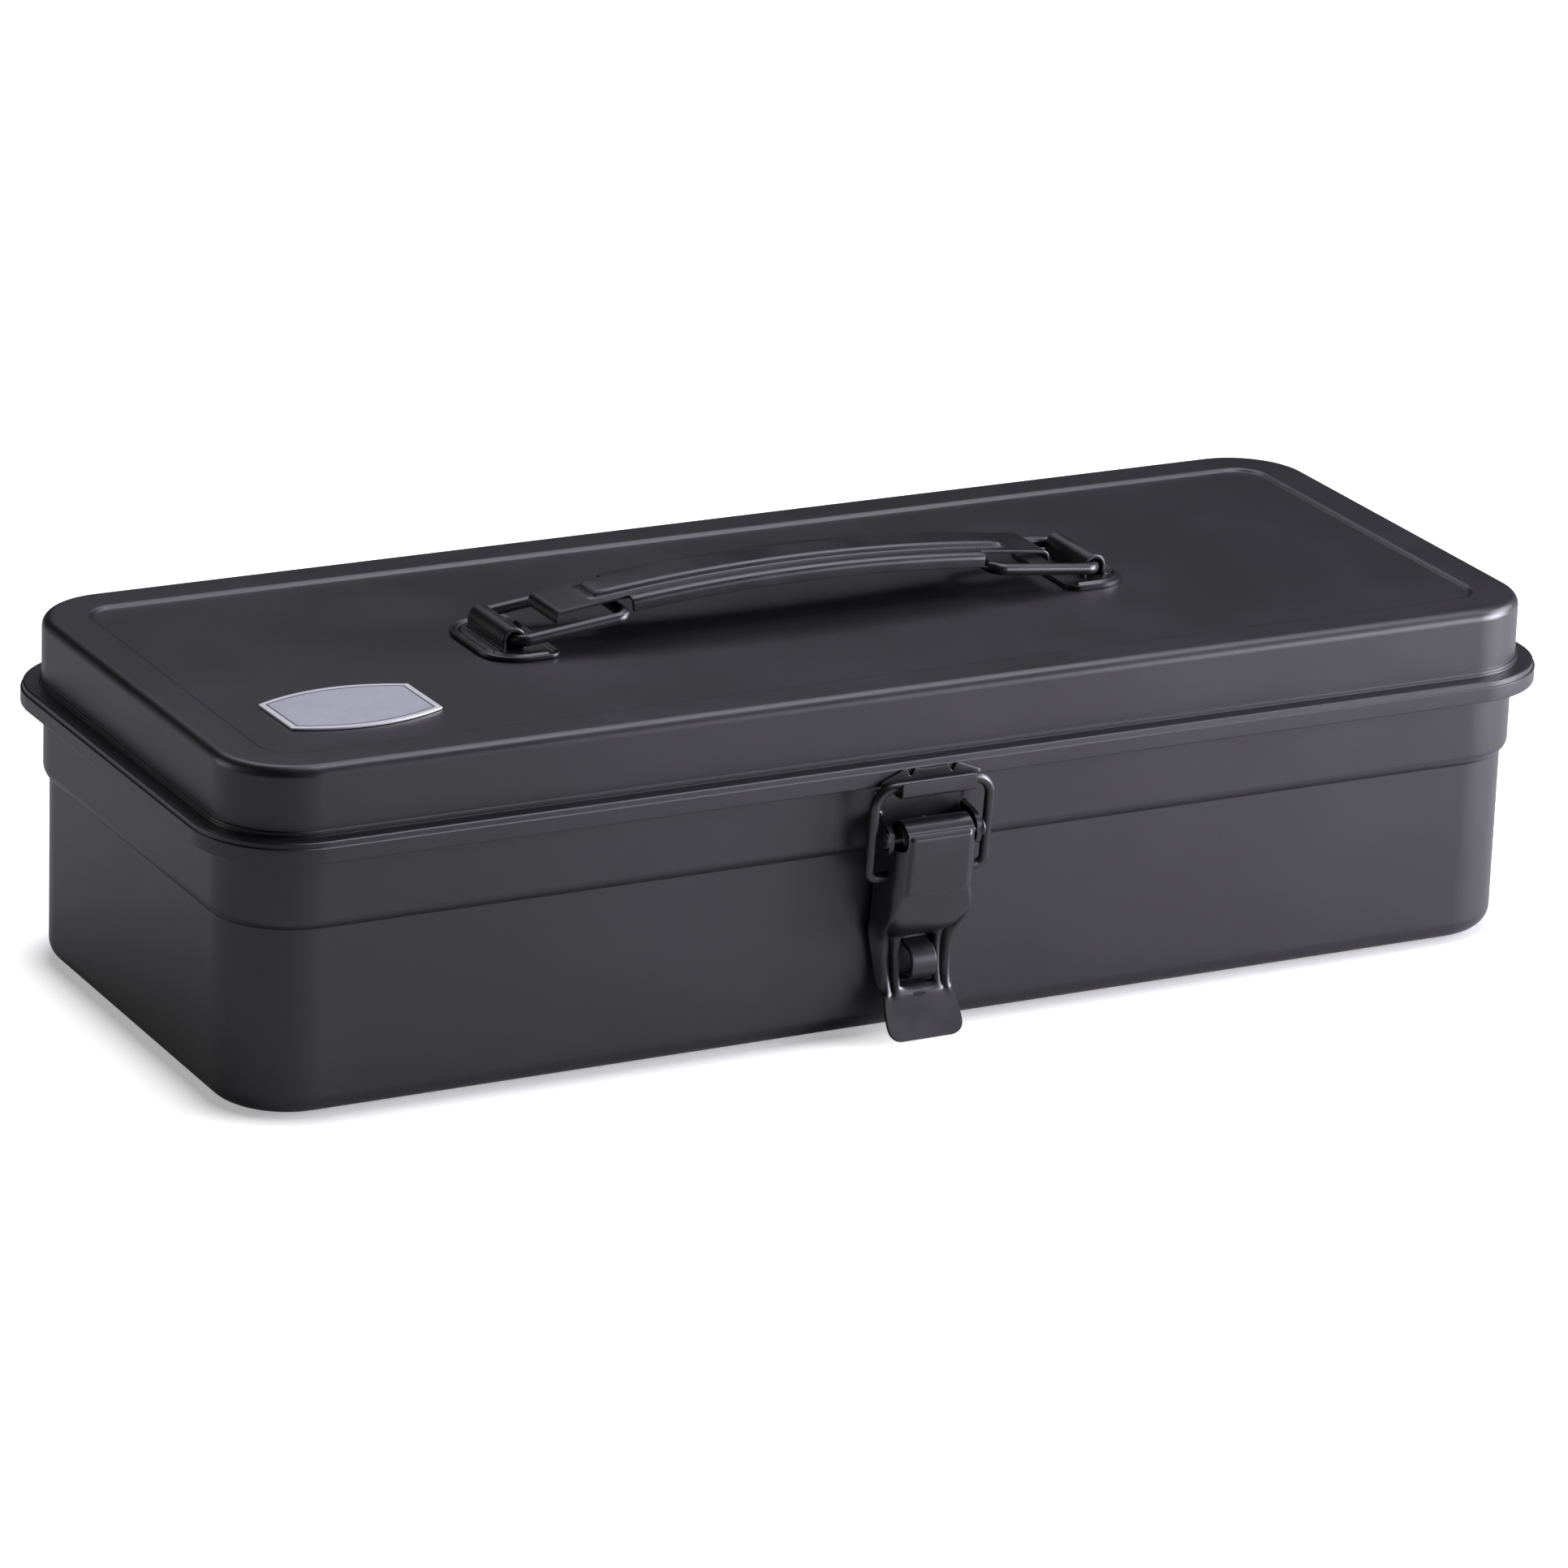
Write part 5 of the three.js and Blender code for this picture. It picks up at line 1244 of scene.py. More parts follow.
@dataclass
class Latch:
    """The draw latch: a base with two ears, a lever on a pin, a wire bail, a keeper and a padlock staple.

    The window and the slot are given by half their width, their foot and their top. Each row of the ears has
    a height and a reach forwards, and the uppermost rows are then pressed flat to a share of their reach.
    """

    finishes: Finishes
    pivot_y: float = -71.0
    pivot_z: float = 48.7
    pin_half: tuple[Bend, ...] = (
        (-12.4, 0.0, 0.0), (-12.4, 1.9, 0.5), (-11.6, 1.9, 0.0), (-11.6, 1.1, 0.0), (-8.0, 1.1, 0.0),
        (-8.0, 2.6, 0.2))
    barrel: float = 3.65
    barrel_start: float = -40.0
    barrel_turn: float = 192.0
    lever_sheet: float = 0.85
    window: tuple[float, float, float] = (4.8, 11.4, 23.5)
    window_lip: float = 1.0
    slot: tuple[float, float, float] = (1.9, 9.2, 10.1)
    wall_inside: float = 9.5
    bail_hole: float = 1.2
    tab_top: tuple[float, float] = (-66.9, 10.0)
    tab_tip: tuple[float, float] = (-72.6, 1.1)
    tab_half: float = 8.35
    tab_spread: float = 0.9
    tab_spread_length: float = 5.0
    tab_corner: float = 3.0
    base_sheet: float = 1.2
    base_top: float = 57.6
    base_bottom: float = 10.5
    plate_y: float = -64.3
    lower_y: float = -62.3
    lower_half: float = 8.6
    lower_draw: float = 1.6
    lower_corner: float = 2.0
    joggle_top: float = 42.6
    joggle_foot: float = 40.6
    ear_x: float = 10.9
    ear_bend: float = 1.7
    ear_margin: float = 0.4
    ear_tips: tuple[tuple[float, float], ...] = (
        (57.6, -66.1), (53.4, -66.1), (52.8, -66.9), (52.4, -68.8), (51.9, -70.4), (51.1, -71.6),
        (49.9, -72.4), (47.4, -72.4), (46.0, -72.0), (45.2, -71.2), (44.3, -68.6), (43.4, -66.3))
    ear_pressed: tuple[tuple[float, float], ...] = ((57.6, 0.03), (53.4, 0.05), (52.8, 0.5))
    bail_wire: float = 2.3
    bail_half: float = 14.3
    bail_foot: tuple[float, float] = (-68.4, 39.1)
    bail_bar: tuple[float, float] = (-70.6, 60.5)
    bail_end: float = 8.2
    bail_bends: tuple[float, float, float, float] = (2.0, 4.6, 4.6, 2.0)
    staple_z: float = 17.3
    staple_radius: float = 4.2
    staple_reach: float = 1.1
    staple_sheet: float = 1.1
    staple_half: float = 3.05
    staple_foot: float = 2.3
    staple_gap: float = 0.3
    staple_play: float = 0.1
    keeper_sheet: float = 0.6
    keeper_half: float = 12.3
    keeper_y: float = -68.9
    keeper_top: float = 63.5
    keeper_floor: float = 58.9
    keeper_bend: float = 1.0
    keeper_straight: float = 1.2
    peak_height: float = 0.6
    peak_width: float = 2.1
    notch_x: float = 5.2
    notch_half: float = 1.0
    notch_depth: float = 1.9
    end_start: float = 7.0
    end_drop: float = 1.9
    hook_half: float = 9.3
    hook_top: float = 61.9
    hook_y: float = -73.1
    rivets: tuple[tuple[str, float, float, float], ...] = (
        ("top", 0.0, -64.9, 48.8), ("left", -4.0, -62.9, 33.0), ("right", 4.0, -62.9, 33.0))

    def build(self) -> None:
        """Builds the pieces of the latch."""
        self._base()
        self._staple()
        self._pin()
        self._lever()
        self._bail()
        self._keeper()
        for name, *place in self.rivets:
            form = Form()
            form.turned([(-2.4, 0.0, 0), (-2.4, 1.2, 0), *RIVET_HEAD], place, Axis.Y, -1, 24)
            form.make(f"rivet_head_{name}", self.finishes.enamelled("box", f"latch_rivet_{name}"))

    def _base(self) -> None:
        """Builds the base: a plate with two ears folded forwards, joggled down to a narrower foot."""
        form = Form()
        line = mirrored([(-self.ear_x, self.ear_tips[0][1], 0), (-self.ear_x, self.plate_y, self.ear_bend)])
        row = form.bent(line, lambda x, y: (x, y, self.base_top))
        for (_, before), (height, tip) in zip(self.ear_tips, self.ear_tips[1:]):
            row = form.pull_each(row, self._ear_row(height, before, tip))
        foot = [edge for edge in row if all(abs(vert.co.x) < self.ear_x - self.ear_margin
                                            and vert.co.y > self.plate_y - self.ear_margin
                                            for vert in edge.verts)]
        foot = form.pull_each(foot, lambda spot: (self._foot_x(spot.x), self.plate_y, self.joggle_top))
        for height in (self.joggle_foot, self.base_bottom):
            foot = form.pull_each(foot, lambda spot, height=height: (spot.x, self.lower_y, height))
        pressed = dict(self.ear_pressed)
        for vert in form.bm.verts:
            share = pressed.get(round(vert.co.z, 2), 1.0)
            bmesh.ops.translate(form.bm, verts=[vert], vec=(0, (vert.co.y - self.plate_y) * (share - 1), 0))
        form.close()
        for vert in list(form.bm.verts):
            if vert.is_valid and abs(vert.co.z - self.base_bottom) < MERGE and len(vert.link_edges) == 2:
                form.round_corner(vert, self.lower_corner, 6)
        form.make("latch_base", self.finishes.enamelled("box", "latch_base_plate"), self.base_sheet,
                  edge=0.25)

    def _foot_x(self, x: float) -> float:
        """Where a column of the foot stands: the outermost ones are drawn to the foot's edge."""
        return math.copysign(self.lower_half, x) if abs(x) > self.lower_half - self.lower_draw else x

    def _ear_row(self, height: float, before: float, tip: float) -> Rule:
        """Gives the rule for one row of the base with its ears.

        Args:
            height: The height of the row.
            before: How far forwards the ears reached in the row above.
            tip: How far forwards they reach in this row.

        Returns:
            A function from a vertex's place to its new one.
        """
        def place(spot: Vector) -> Sequence[float]:
            """The new place of one vertex."""
            return (spot.x, tip if abs(spot.y - before) < MERGE else spot.y, height)
        return place

    def _staple(self) -> None:
        """Builds the padlock staple: a strap rolled to a loop, with a foot above and below."""
        form = Form()
        half = self.staple_sheet / 2
        face = self.lower_y - self.base_sheet / 2 - self.staple_play - half
        roll = face - self.staple_sheet - self.staple_reach
        top = self.staple_z + self.staple_radius + self.staple_gap
        foot = (0, 0, -self.staple_foot)
        strap = form.chain([(x, face, top + self.staple_foot) for x in (-self.staple_half, self.staple_half)])
        strap = form.pull(strap, foot)
        strap = form.pull_each(strap, lambda spot: (spot.x, roll, self.staple_z + self.staple_radius - half))
        strap = form.turn(strap, (0, roll, self.staple_z), Axis.X.vector, 180, 20)
        bottom = self.staple_z - self.staple_radius - self.staple_gap
        strap = form.pull_each(strap, lambda spot: (spot.x, face, bottom))
        form.pull(strap, foot)
        form.close()
        form.make("staple_strap", self.finishes.enamelled("box", "padlock_staple"), self.staple_sheet,
                  edge=0.25)

    def _pin(self) -> None:
        """Builds the shouldered pin that the lever turns on."""
        form = Form()
        form.turned(mirrored(self.pin_half), (0, self.pivot_y, self.pivot_z), Axis.X)
        form.make("pivot_pin", self.finishes.blackened("box", "latch_pivot_pin"))

    def _front_rows(self) -> list[Row]:
        """The rows of the lever's raised front, from the barrel down to the belly.

        Returns:
            The rows from top to bottom.
        """
        wide = (2.5, 4.7, 5.6, 6.6, 7.15, 7.45, 8.2)
        pad = (0.7, 0.7, 0.7, 0.7, 0.7, 0.0, 0.0)
        return [
            Row(-74.55, 50.4, wide),
            Row(-74.65, 49.7, wide),
            Row(-74.65, 49.4, wide, pad),
            Row(-74.6, 48.4, wide, pad),
            Row(-74.45, 46.5, wide, pad, (9.5, -73.0), (9.7, -67.0)),
            Row(-74.15, 43.2, wide, pad, (9.6, -72.7), (9.75, -64.6)),
            Row(-73.8, 40.5, wide, pad, (9.6, -72.3)),
            Row(-73.4, 37.7, wide, pad, (9.7, -71.9), (9.8, -63.6)),
            Row(-73.2, 36.4, wide, pad, (9.8, -71.7), (9.9, -63.6)),
            Row(-73.1, 35.9, wide, (0.0,) * 7, (9.8, -71.6), (9.9, -63.6)),
            Row(-72.75, 34.0, (2.5, 4.7, 5.8, 7.0, 7.8, 8.3, 8.9), fold=(9.9, -71.3), back=(10.1, -63.6)),
            Row(-72.2, 31.5, (2.5, 4.7, 6.0, 7.8, 8.7, 9.0, 9.4), fold=(10.1, -71.0), back=(10.3, -63.7)),
        ]

    def _neck_rows(self) -> list[Row]:
        """The rows of the lever's neck, where the front narrows to a rim beside a groove.

        Returns:
            The rows from top to bottom.
        """
        return [
            Row(-71.3, 29.2, (2.5, 4.7, 6.2, 8.3, 9.1, 9.3, 9.5),
                (0, 0, 0, 0, -0.5, -0.5, -0.3), (9.9, -70.3), (10.5, -63.8)),
            Row(-69.9, 27.1, (2.5, 4.7, 6.0, 7.8, 8.7, 9.1, 9.5),
                (0, 0, 0, -0.1, -1.6, -1.6, -1.0), (9.8, -68.4), (10.9, -63.9)),
            Row(-67.9, 25.5, (2.5, 4.7, 5.6, 6.9, 7.9, 8.5, 9.1),
                (0, 0, 0.1, 0, -1.5, -1.1, -0.1), (9.5, -67.4), (11.2, -63.9)),
            Row(-66.2, 24.4, (2.5, 4.7, 5.4, 6.4, 7.4, 8.1, 8.8),
                (0, 0.5, 0.6, 0.1, -1.0, -0.4, 0.9), (9.2, -66.7), (11.1, -63.8)),
            Row(-65.1, 23.4, (2.5, 4.7, 5.3, 5.9, 6.7, 7.5, 8.5),
                (0, 1.1, 1.2, 0.6, -0.9, 0.5, 1.4), (8.9, -66.1), (10.8, -63.5)),
            Row(-64.3, 21.0, (2.5, 4.7, 5.2, 5.7, 6.4, 7.1, 8.2),
                (0, 1.4, 1.5, 0.9, -0.8, 0.7, 1.6), (8.6, -65.6), (10.2, -63.2)),
            Row(-64.3, 18.2, (2.5, 4.7, 5.2, 5.7, 6.3, 6.9, 8.0),
                (0, 1.5, 1.6, 0.9, -0.8, 0.8, 1.5), (8.4, -65.4), (9.6, -63.2)),
            Row(-64.7, 15.0, (2.5, 4.7, 5.2, 5.6, 6.2, 6.8, 7.8),
                (0, 1.5, 1.5, 0.8, -0.8, 0.8, 1.3), (8.2, -65.6), (9.2, -63.6)),
            Row(-65.3, 12.8, (2.5, 4.7, 5.2, 5.6, 6.2, 6.8, 7.7),
                (0, 1.2, 1.3, 0.7, -0.7, 0.7, 1.0), (8.1, -65.9), (8.9, -64.4)),
            Row(-65.9, 11.5, (2.5, 4.7, 5.3, 5.7, 6.2, 6.8, 7.6),
                (0, 0.8, 0.9, 0.5, -0.6, 0.5, 0.7), (8.05, -66.3), (8.7, -65.2)),
            Row(-66.5, 10.6, (1.7, 4.0, 5.3, 5.8, 6.3, 6.9, 7.6),
                (0.4, 0.3, 0.4, 0.3, -0.4, 0.2, 0.3), (8.0, -66.6), (8.5, -66.1)),
        ]

    def _tab_rows(self) -> list[Row]:
        """The rows of the flat finger tab, drawn in along a round at its two corners.

        Returns:
            The rows from top to bottom.
        """
        across = (1.7, 3.6, 5.2, 6.2, 7.0, 7.7, 8.2)
        drawn_half, fold_share = 8.9, 8.45 / 8.9
        top, tip = Vector(self.tab_top), Vector(self.tab_tip)
        length = (tip - top).length
        corner = self.tab_corner
        rows = []
        for left in (length, length - 0.7, 7.2, 4.6, corner, 1.9, 1.0, 0.4, 0.1, 0.0):
            y, z = tip + (top - tip) * (left / length)
            spread = self.tab_spread * min(1.0, (length - left) / self.tab_spread_length)
            into = max(0.0, corner - left)
            half = self.tab_half + spread - corner + math.sqrt(corner ** 2 - into ** 2)
            steps = (0.0, 0.1, 0.1, 0.0, -0.2, 0.0, 0.1) if left == length else (0.0,) * 7
            columns = tuple(x * (half / drawn_half) for x in across)
            rows.append(Row(y, z, columns, steps, (half * fold_share, y), (half, y)))
        return rows

    def _lever(self) -> None:
        """Builds the lever: a sheet rolled round the pin, pressed out row by row, with folded side walls."""
        form = Form()
        rows = self._front_rows() + self._neck_rows() + self._tab_rows()
        columns = rows[0].columns
        xs = [-x for x in reversed(columns)] + list(columns)
        start = math.radians(self.barrel_start)
        y = self.pivot_y + self.barrel * math.cos(start)
        z = self.pivot_z + self.barrel * math.sin(start)
        row = form.chain([(x, y, z) for x in xs])
        row = form.turn(row, (0, self.pivot_y, self.pivot_z), Axis.X.vector, self.barrel_turn, 10)
        for station in rows:
            row = form.pull_each(row, self._pressed(station, columns))
            columns = station.columns
        self._cut_openings(form)
        self._fold_walls(form, rows)
        form.close()
        form.make("lever_sheet", self.finishes.enamelled("lever", "latch_lever"), self.lever_sheet,
                  edge=0.15, levels=2, edge_angle=60)

    def _pressed(self, station: Row, before: Sequence[float]) -> Rule:
        """Gives the rule for one row of the lever.

        Args:
            station: The row.
            before: The columns of the row above.

        Returns:
            A function from a vertex's place to its new one.
        """
        def place(spot: Vector) -> Sequence[float]:
            """The new place of one vertex."""
            i = min(range(len(before)), key=lambda near: abs(before[near] - abs(spot.x)))
            return (math.copysign(station.columns[i], spot.x), station.y - station.steps[i], station.z)
        return place

    def _cut_openings(self, form: Form) -> None:
        """Cuts the window for the staple, whose rim turns back, and the small slot under it.

        Args:
            form: The lever's sheet.
        """
        window, slot = ([
            face for face in form.bm.faces
            if all(abs(vert.co.x) < half and foot < vert.co.z < top for vert in face.verts)
        ] for half, foot, top in (self.window, self.slot))
        rims = unique(edge for face in window for edge in face.edges)
        bmesh.ops.delete(form.bm, geom=window + slot, context="FACES")
        rims = [edge for edge in rims if edge.is_valid and edge.is_boundary]
        form.pull(rims, (0, self.window_lip, 0))

    def _fold_walls(self, form: Form, rows: Sequence[Row]) -> None:
        """Folds the side walls back from the front, and leaves a hole in each for the bail.

        Args:
            form: The lever's sheet.
            rows: Its rows from top to bottom.
        """
        heights = {round(row.z, 3): row for row in rows}
        walled = [row.z for row in rows if row.fold[1]]
        foot, top = min(walled) - MERGE, max(walled) + MERGE
        outer = {(round(row.z, 3), round(row.columns[-1], 3)) for row in rows}
        sides = []
        for edge in form.bm.edges:
            a, b = (vert.co for vert in edge.verts)
            upright = abs(a.z - b.z) > MERGE and a.x * b.x > 0
            if edge.is_boundary and upright and all(
                    (round(co.z, 3), round(abs(co.x), 3)) in outer and foot < co.z < top for co in (a, b)):
                sides.append(edge)
        for share in (0.0, 0.3, 0.6, 1.0):
            def place(spot: Vector, share: float = share) -> Sequence[float]:
                """The place of one vertex of the wall."""
                x, y = heights[round(spot.z, 3)].wall(share)
                return (math.copysign(x, spot.x), y, spot.z)
            sides = form.pull_each(sides, place)
        bail_y, bail_z = self.bail_foot
        holes = []
        for face in form.bm.faces:
            middle = face.calc_center_median()
            near = abs(middle.z - bail_z) < self.bail_hole and abs(middle.y - bail_y) < self.bail_hole
            if near and abs(middle.x) > self.wall_inside:
                holes.append(face)
        bmesh.ops.delete(form.bm, geom=holes, context="FACES")

    def _bail(self) -> None:
        """Builds the wire bail, whose feet turn into the lever."""
        half = self.bail_half
        half_route = [(-self.bail_end, self.bail_foot), (-half, self.bail_foot), (-half, self.bail_bar)]
        other_half = [(-x, base) for x, base in reversed(half_route)]
        form = Form()
        form.wire([Vector((x, *base)) for x, base in half_route + other_half], self.bail_bends,
                  self.bail_wire, 20)
        form.make("bail_wire", self.finishes.enamelled("bail", "latch_bail"))

    def _keeper(self) -> None:
        """Builds the keeper: a notched plate on the lip that turns up into a hook."""
        form = Form()
        count = 48
        xs = [self.keeper_half * (2 * i / count - 1) for i in range(count + 1)]
        edges = form.chain([(x, self.keeper_y, self._keeper_edge(x)) for x in xs])
        bend = self.keeper_bend
        floor = self.keeper_floor - self.keeper_sheet / 2
        for height in (floor + bend + self.keeper_straight, floor + bend):
            edges = form.pull_each(edges, lambda spot, height=height: (spot.x, spot.y, height))
        hook = [edge for edge in edges if all(abs(vert.co.x) < self.hook_half + 0.1 for vert in edge.verts)]
        hook = form.turn(hook, (0, self.keeper_y - bend, floor + bend), -Axis.X.vector, 90, 5)
        hook = form.pull(hook, (0, self.hook_y - self.keeper_y + 2 * bend, 0))
        hook = form.turn(hook, (0, self.hook_y + bend, floor + bend), -Axis.X.vector, 90, 5)
        form.pull(hook, (0, 0, self.hook_top - floor - bend))
        form.close()
        form.make("keeper_hook", self.finishes.enamelled("lid", "latch_keeper"), self.keeper_sheet, edge=0.15)

    def _keeper_edge(self, x: float) -> float:
        """The height of the keeper's top edge: raised beside its two narrow notches, and lower at its ends.

        Args:
            x: How far from the middle it is read.

        Returns:
            The height.
        """
        near = abs(abs(x) - self.notch_x)
        peak = self.peak_height * math.exp(-(near / self.peak_width) ** 2)
        notch = self.notch_depth * max(0.0, 1 - (near / self.notch_half) ** 2)
        share = (abs(x) - self.end_start) / (self.keeper_half - self.end_start)
        return self.keeper_top + peak - notch - self.end_drop * max(0.0, share) ** 1.2


@dataclass
class Hinge:
    """One of the two hinges at the back, out of the photograph's sight: two leaves, a pin and four rivets."""

    finishes: Finishes
    side: Side
    spacing: float = 190.0
    axis_y: float = 71.3
    axis_z: float = 62.0
    sheet: float = 0.8
    barrel: float = 2.3
    wrap: float = 330.0
    half_width: float = 18.0
    outer_knuckle: float = 10.0
    gap: float = 0.3
    wall_y: float = 64.1
    lid_wall_y: float = 64.3
    flat_bottom: float = 46.2
    flat_split: float = 54.8
    flat_top: float = 56.2
    neck: tuple[float, float] = (66.7, 59.0)
    flange_z: float = 66.0
    lid_neck_y: float = 0.9
    lid_neck_z: float = 2.4
    lid_flat_bottom: float = 68.3
    lid_flat_top: float = 77.5
    pin_head: float = 0.8
    pin_play: float = 0.1
    rivet_offset: float = 12.0
    rivet_heights: tuple[float, float] = (51.1, 72.7)

    @property
    def centre(self) -> float:
        """The middle of the hinge along the box."""
        return self.side.value * self.spacing / 2

    @property
    def roll(self) -> float:
        """The radius of the middle of the sheet where it rolls round the pin."""
        return self.barrel - self.sheet / 2

    def build(self) -> None:
        """Builds the hinge."""
        self._body_leaf()
        self._lid_leaf()
        self._pin()
        self._rivets()

    def _leaf(self, name: str, body: str, part: str, line: Sequence[Bend],
              spans: Sequence[tuple[float, float]], wrap: float) -> None:
        """Builds a leaf: a sheet, whole on the wall and parted into knuckles that roll round the pin.

        Args:
            name: The word for its wall in the name of the piece.
            body: The body that it rides on.
            part: The word for that body in the name of its node.
            line: The section of the sheet, from its free edge past the end of its whole part to the barrel.
            spans: The two ends of each knuckle along the pin, from the middle of the hinge.
            wrap: The angle in degrees through which a knuckle rolls.
        """
        form = Form()

        def at(x: float) -> Callable[[float, float], Sequence[float]]:
            """The rule that stands the section at a distance from the middle of the hinge."""
            return lambda y, z: (self.centre + x, y, z)
        form.pull(form.bent(line[:2], at(-self.half_width)), (2 * self.half_width, 0, 0))
        for left, right in spans:
            strip = form.bent(line[1:], at(left))
            end = max((vert.co for edge in strip for vert in edge.verts),
                      key=lambda co: (co - Vector((co.x, line[0][0], line[0][1]))).length).copy()
            along = Vector((right - left, 0, 0))
            form.pull(strip, along)
            form.turn(form.chain([end, end + along]), (0, self.axis_y, self.axis_z), Axis.X.vector, wrap, 20)
        form.close()
        look = self.finishes.enamelled(body, f"hinge_{part}_leaf_{self.side.label}")
        form.make(f"hinge_leaf_{name}_{self.side.label}", look, self.sheet, edge=0.2)

    def _body_leaf(self) -> None:
        """Builds the leaf on the tub, with its two outer knuckles."""
        line = [(self.wall_y, self.flat_bottom, 0), (self.wall_y, self.flat_split, 0),
                (self.wall_y, self.flat_top, 1.2), (*self.neck, 1.5),
                (self.axis_y, self.axis_z - self.roll, 0)]
        outer = self.half_width
        inner = outer - self.outer_knuckle
        self._leaf("tub", "box", "body", line, ((-outer, -inner), (inner, outer)), self.wrap)

    def _lid_leaf(self) -> None:
        """Builds the leaf on the lid, with its middle knuckle."""
        outer_y = self.axis_y + self.roll
        line = [(self.lid_wall_y, self.lid_flat_top, 0), (self.lid_wall_y, self.lid_flat_bottom, 0),
                (self.lid_wall_y, self.flange_z, 1.0), (outer_y - self.lid_neck_y, self.flange_z, 1.6),
                (outer_y, self.axis_z + self.lid_neck_z, 1.4), (outer_y, self.axis_z, 0)]
        inner = self.half_width - self.outer_knuckle - self.gap
        self._leaf("lid", "lid", "lid", line, ((-inner, inner),), -self.wrap)

    def _pin(self) -> None:
        """Builds the hinge pin."""
        form = Form()
        head = self.half_width + self.pin_play
        end = head + self.pin_head
        form.turned(mirrored([(-end, 0.0, 0), (-end, 1.9, 0.6), (-head, 1.9, 0), (-head, 1.2, 0)]),
                    (self.centre, self.axis_y, self.axis_z), Axis.X)
        look = self.finishes.blackened("box", f"hinge_pin_{self.side.label}")
        form.make(f"hinge_pin_steel_{self.side.label}", look)

    def _rivets(self) -> None:
        """Builds the four rivets of the hinge."""
        walls = (("box", "body", self.wall_y), ("lid", "lid", self.lid_wall_y))
        for (body, part, face), height in zip(walls, self.rivet_heights):
            for place, offset in (("inner", -self.rivet_offset), ("outer", self.rivet_offset)):
                form = Form()
                form.turned([(-2.3, 0.0, 0), (-2.3, 2.0, 0.2), (-1.7, 2.0, 0), (-1.7, 1.2, 0), *RIVET_HEAD],
                            (self.centre + offset, face + self.sheet / 2, height), Axis.Y, 1, 24)
                label = f"{self.side.label}_{place}"
                form.make(f"hinge_rivet_{part}_{label}",
                          self.finishes.enamelled(body, f"hinge_{part}_rivet_{label}"))


# The scene round the box


@dataclass(frozen=True)
class Softbox:
    """A square soft lamp that points at the box.

    The bearing is turned from the front to the right, and the height is above the level of the box, both in
    degrees. The distance and the side of the square are in millimetres.
    """

    name: str
    bearing: float
    height: float
    brightness: float
    side: float = 600.0
    distance: float = 1400.0
    colour: Colour = (1.0, 0.97, 1.09)

    def hang(self, target: Vector) -> None:
        """Hangs the lamp.

        Args:
            target: The point that it faces, in millimetres.
        """
        bearing, height = math.radians(self.bearing), math.radians(self.height)
        level = math.cos(height)
        way = Vector((math.sin(bearing) * level, -math.cos(bearing) * level, math.sin(height)))
        data = bpy.data.lights.new(self.name, "AREA")
        data.shape = "SQUARE"
        data.size = self.side * MM
        data.color = self.colour
        data.energy = self.brightness * math.pi * (self.side * MM) ** 2
        lamp = bpy.data.objects.new(self.name, data)
        turn = (-way).to_track_quat("-Z", "Y").to_matrix().to_4x4()
        lamp.matrix_world = Matrix.Translation((target + way * self.distance) * MM) @ turn
        bpy.context.scene.collection.objects.link(lamp)


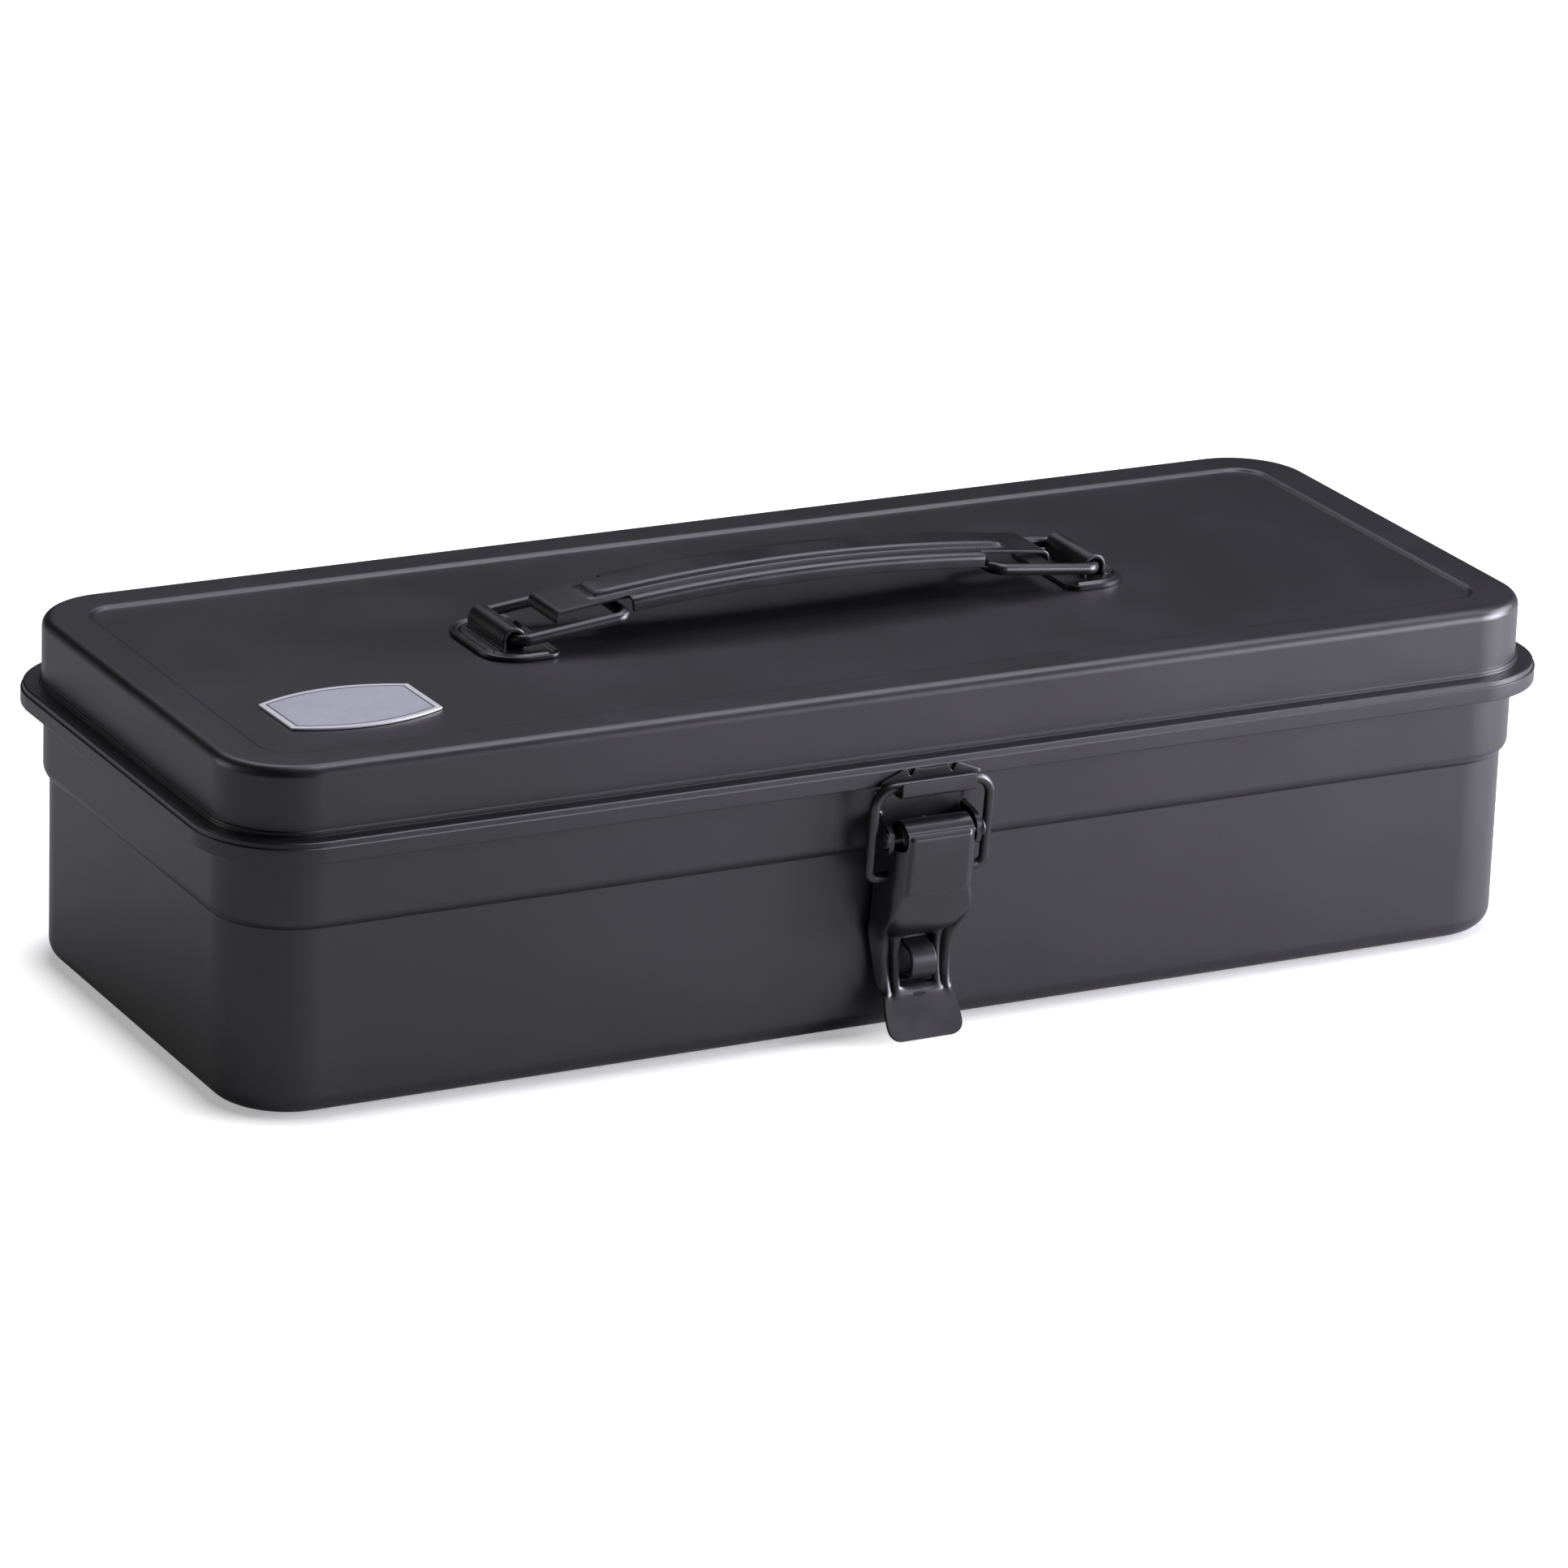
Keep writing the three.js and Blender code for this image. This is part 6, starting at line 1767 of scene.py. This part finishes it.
@dataclass
class Studio:
    """A white floor, soft lamps and a camera at the photograph's angle."""

    yaw: float = 27.83
    pitch: float = 19.46
    roll: float = 2.09
    focal: float = 9940.06
    image: float = 1932.0
    distance: float = 1833.51
    centre_u: float = 967.5
    centre_v: float = 924.16
    target: tuple[float, float, float] = (0.0, 0.0, 45.0)
    sensor: float = 36.0
    sight_m: float = 100.0
    floor_half_m: float = 14.0
    floor_drop_m: float = 0.0002
    floor_colour: Colour = (0.6, 0.6, 0.6)
    # The next two set a painted shadow round the box: the share of the floor's white glow left at its
    # footprint, and how far out the glow is dimmed.
    painted_shadow_floor: float = 0.36
    painted_shadow_reach: float = 14.0
    footprint: tuple[float, float] = (160.6, 61.6)
    footprint_corner: float = 19.0
    mirrored_floor: float = 0.1
    mirrored_room: float = 0.01
    lamps: tuple[Softbox, ...] = (
        Softbox("key_lamp", 60, 10, 22.6, 407, 950),
        Softbox("front_lamp", 40, 10, 3.7),
        Softbox("right_lamp", 82, 28, 9.0),
        Softbox("rim_lamp", 128, 55, 1.3, 400),
        Softbox("top_lamp", 90, 68, 4.4, 700, 1500),
        Softbox("left_lamp", -90, 30, 0.3, colour=(1.0, 0.985, 0.99)),
        Softbox("low_left_lamp", -120, 12, 2.3, colour=(1.0, 0.985, 0.99)),
        Softbox("back_lamp", 180, 50, 1.6),
        Softbox("high_back_lamp", 152, 53, 1.5, 800),
    )

    def build(self) -> None:
        """Builds the camera, the floor, the world and the lamps."""
        self._camera()
        self._floor()
        self._world()
        for lamp in self.lamps:
            lamp.hang(Vector(self.target))
        bpy.context.scene.view_settings.view_transform = "Standard"

    def _camera(self) -> None:
        """Stands the camera where the photograph was taken from."""
        yaw, pitch, roll = (math.radians(angle) for angle in (self.yaw, self.pitch, self.roll))
        ahead = Vector((math.sin(yaw) * math.cos(pitch), math.cos(yaw) * math.cos(pitch), -math.sin(pitch)))
        right = Vector((math.cos(yaw), -math.sin(yaw), 0))
        up = right.cross(ahead)
        right_rolled = right * math.cos(roll) + up * math.sin(roll)
        up_rolled = up * math.cos(roll) - right * math.sin(roll)
        middle = self.image / 2
        across = (self.centre_u - middle) / self.focal * self.distance
        down = (self.centre_v - middle) / self.focal * self.distance
        place = Vector(self.target) - (right_rolled * across - up_rolled * down + ahead * self.distance)
        data = bpy.data.cameras.new("photo_camera")
        data.sensor_width = self.sensor
        data.lens = self.focal / self.image * self.sensor
        data.clip_end = self.sight_m
        camera = bpy.data.objects.new("photo_camera", data)
        axes = Matrix((right_rolled, up_rolled, -ahead)).transposed().to_4x4()
        camera.matrix_world = Matrix.Translation(place * MM) @ axes
        bpy.context.scene.collection.objects.link(camera)
        bpy.context.scene.camera = camera

    def _floor(self) -> None:
        """Lays the floor, which the camera sees as white but for a shadow close to the box. That shadow is
        partly rendered and partly painted: the white glow is dimmed in a fixed ring round the box's
        footprint, which paints shade there and lets the floor's own shadow show.
        """
        material, graph = new_material("floor_white")
        split = graph.node("ShaderNodeSeparateXYZ", None, {"Vector": graph.places()})
        corner = self.footprint_corner
        straight_x, straight_y = ((half - corner) * MM for half in self.footprint)
        out_x = (abs(Number(graph, split.outputs["X"])) - straight_x).larger(0.0)
        out_y = (abs(Number(graph, split.outputs["Y"])) - straight_y).larger(0.0)
        away = ((out_x * out_x + out_y * out_y).root() - corner * MM) * (1 / (self.painted_shadow_reach * MM))
        near = 1 - away.larger(0.0).smaller(1.0)
        diffuse = graph.node("ShaderNodeBsdfDiffuse", None, {"Color": (*self.floor_colour, 1.0)})
        white = graph.node("ShaderNodeEmission", None, {"Color": WHITE})
        # Painted shadow: the white glow is dimmed near the box's footprint, whatever the lamps do.
        glow = graph.node("ShaderNodeMixShader", None, {
            0: self._seen(graph, self.mirrored_floor) * (1 - near * near * (1 - self.painted_shadow_floor)),
            2: white.outputs[0]})
        both = graph.node("ShaderNodeAddShader", None, {0: diffuse.outputs[0], 1: glow.outputs[0]})
        graph.node("ShaderNodeOutputMaterial", None, {"Surface": both.outputs[0]})
        bm = bmesh.new()
        bmesh.ops.create_grid(bm, x_segments=1, y_segments=1, size=self.floor_half_m)
        bmesh.ops.translate(bm, verts=bm.verts, vec=(0, 0, -self.floor_drop_m))
        mesh = bpy.data.meshes.new("floor")
        bm.to_mesh(mesh)
        bm.free()
        mesh.materials.append(material)
        floor = bpy.data.objects.new("floor", mesh)
        bpy.context.scene.collection.objects.link(floor)

    def _world(self) -> None:
        """Shows white behind the box, and lights the room only a little."""
        world = bpy.data.worlds.new("studio_world")
        bpy.context.scene.world = world
        world.use_nodes = True
        graph = Graph(world.node_tree)
        strength = self._seen(graph, self.mirrored_room)
        back = graph.node("ShaderNodeBackground", None, {"Color": WHITE, "Strength": strength})
        graph.node("ShaderNodeOutputWorld", None, {"Surface": back.outputs[0]})

    @staticmethod
    def _seen(graph: Graph, mirrored: float) -> Number:
        """One where the camera looks straight at the white, and a share of it in gloss and in glass.

        Args:
            graph: The graph that the rays are read in.
            mirrored: The share that gloss and glass show.

        Returns:
            The strength of the white.
        """
        rays = graph.node("ShaderNodeLightPath").outputs
        straight, gloss, glass = (
            Number(graph, rays[name]) for name in ("Is Camera Ray", "Is Glossy Ray", "Is Transmission Ray"))
        return straight.larger(gloss.larger(glass) * mirrored)


def main() -> None:
    """Builds the box and its studio."""
    logging.basicConfig(level=logging.INFO, format="%(message)s")
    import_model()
    finishes = Finishes.make()
    for part in (Tub(finishes), Lid(finishes), Handle(finishes), Latch(finishes),
                 Hinge(finishes, Side.LEFT), Hinge(finishes, Side.RIGHT), Label(), Studio()):
        part.build()


if __name__ == "__main__":
    main()
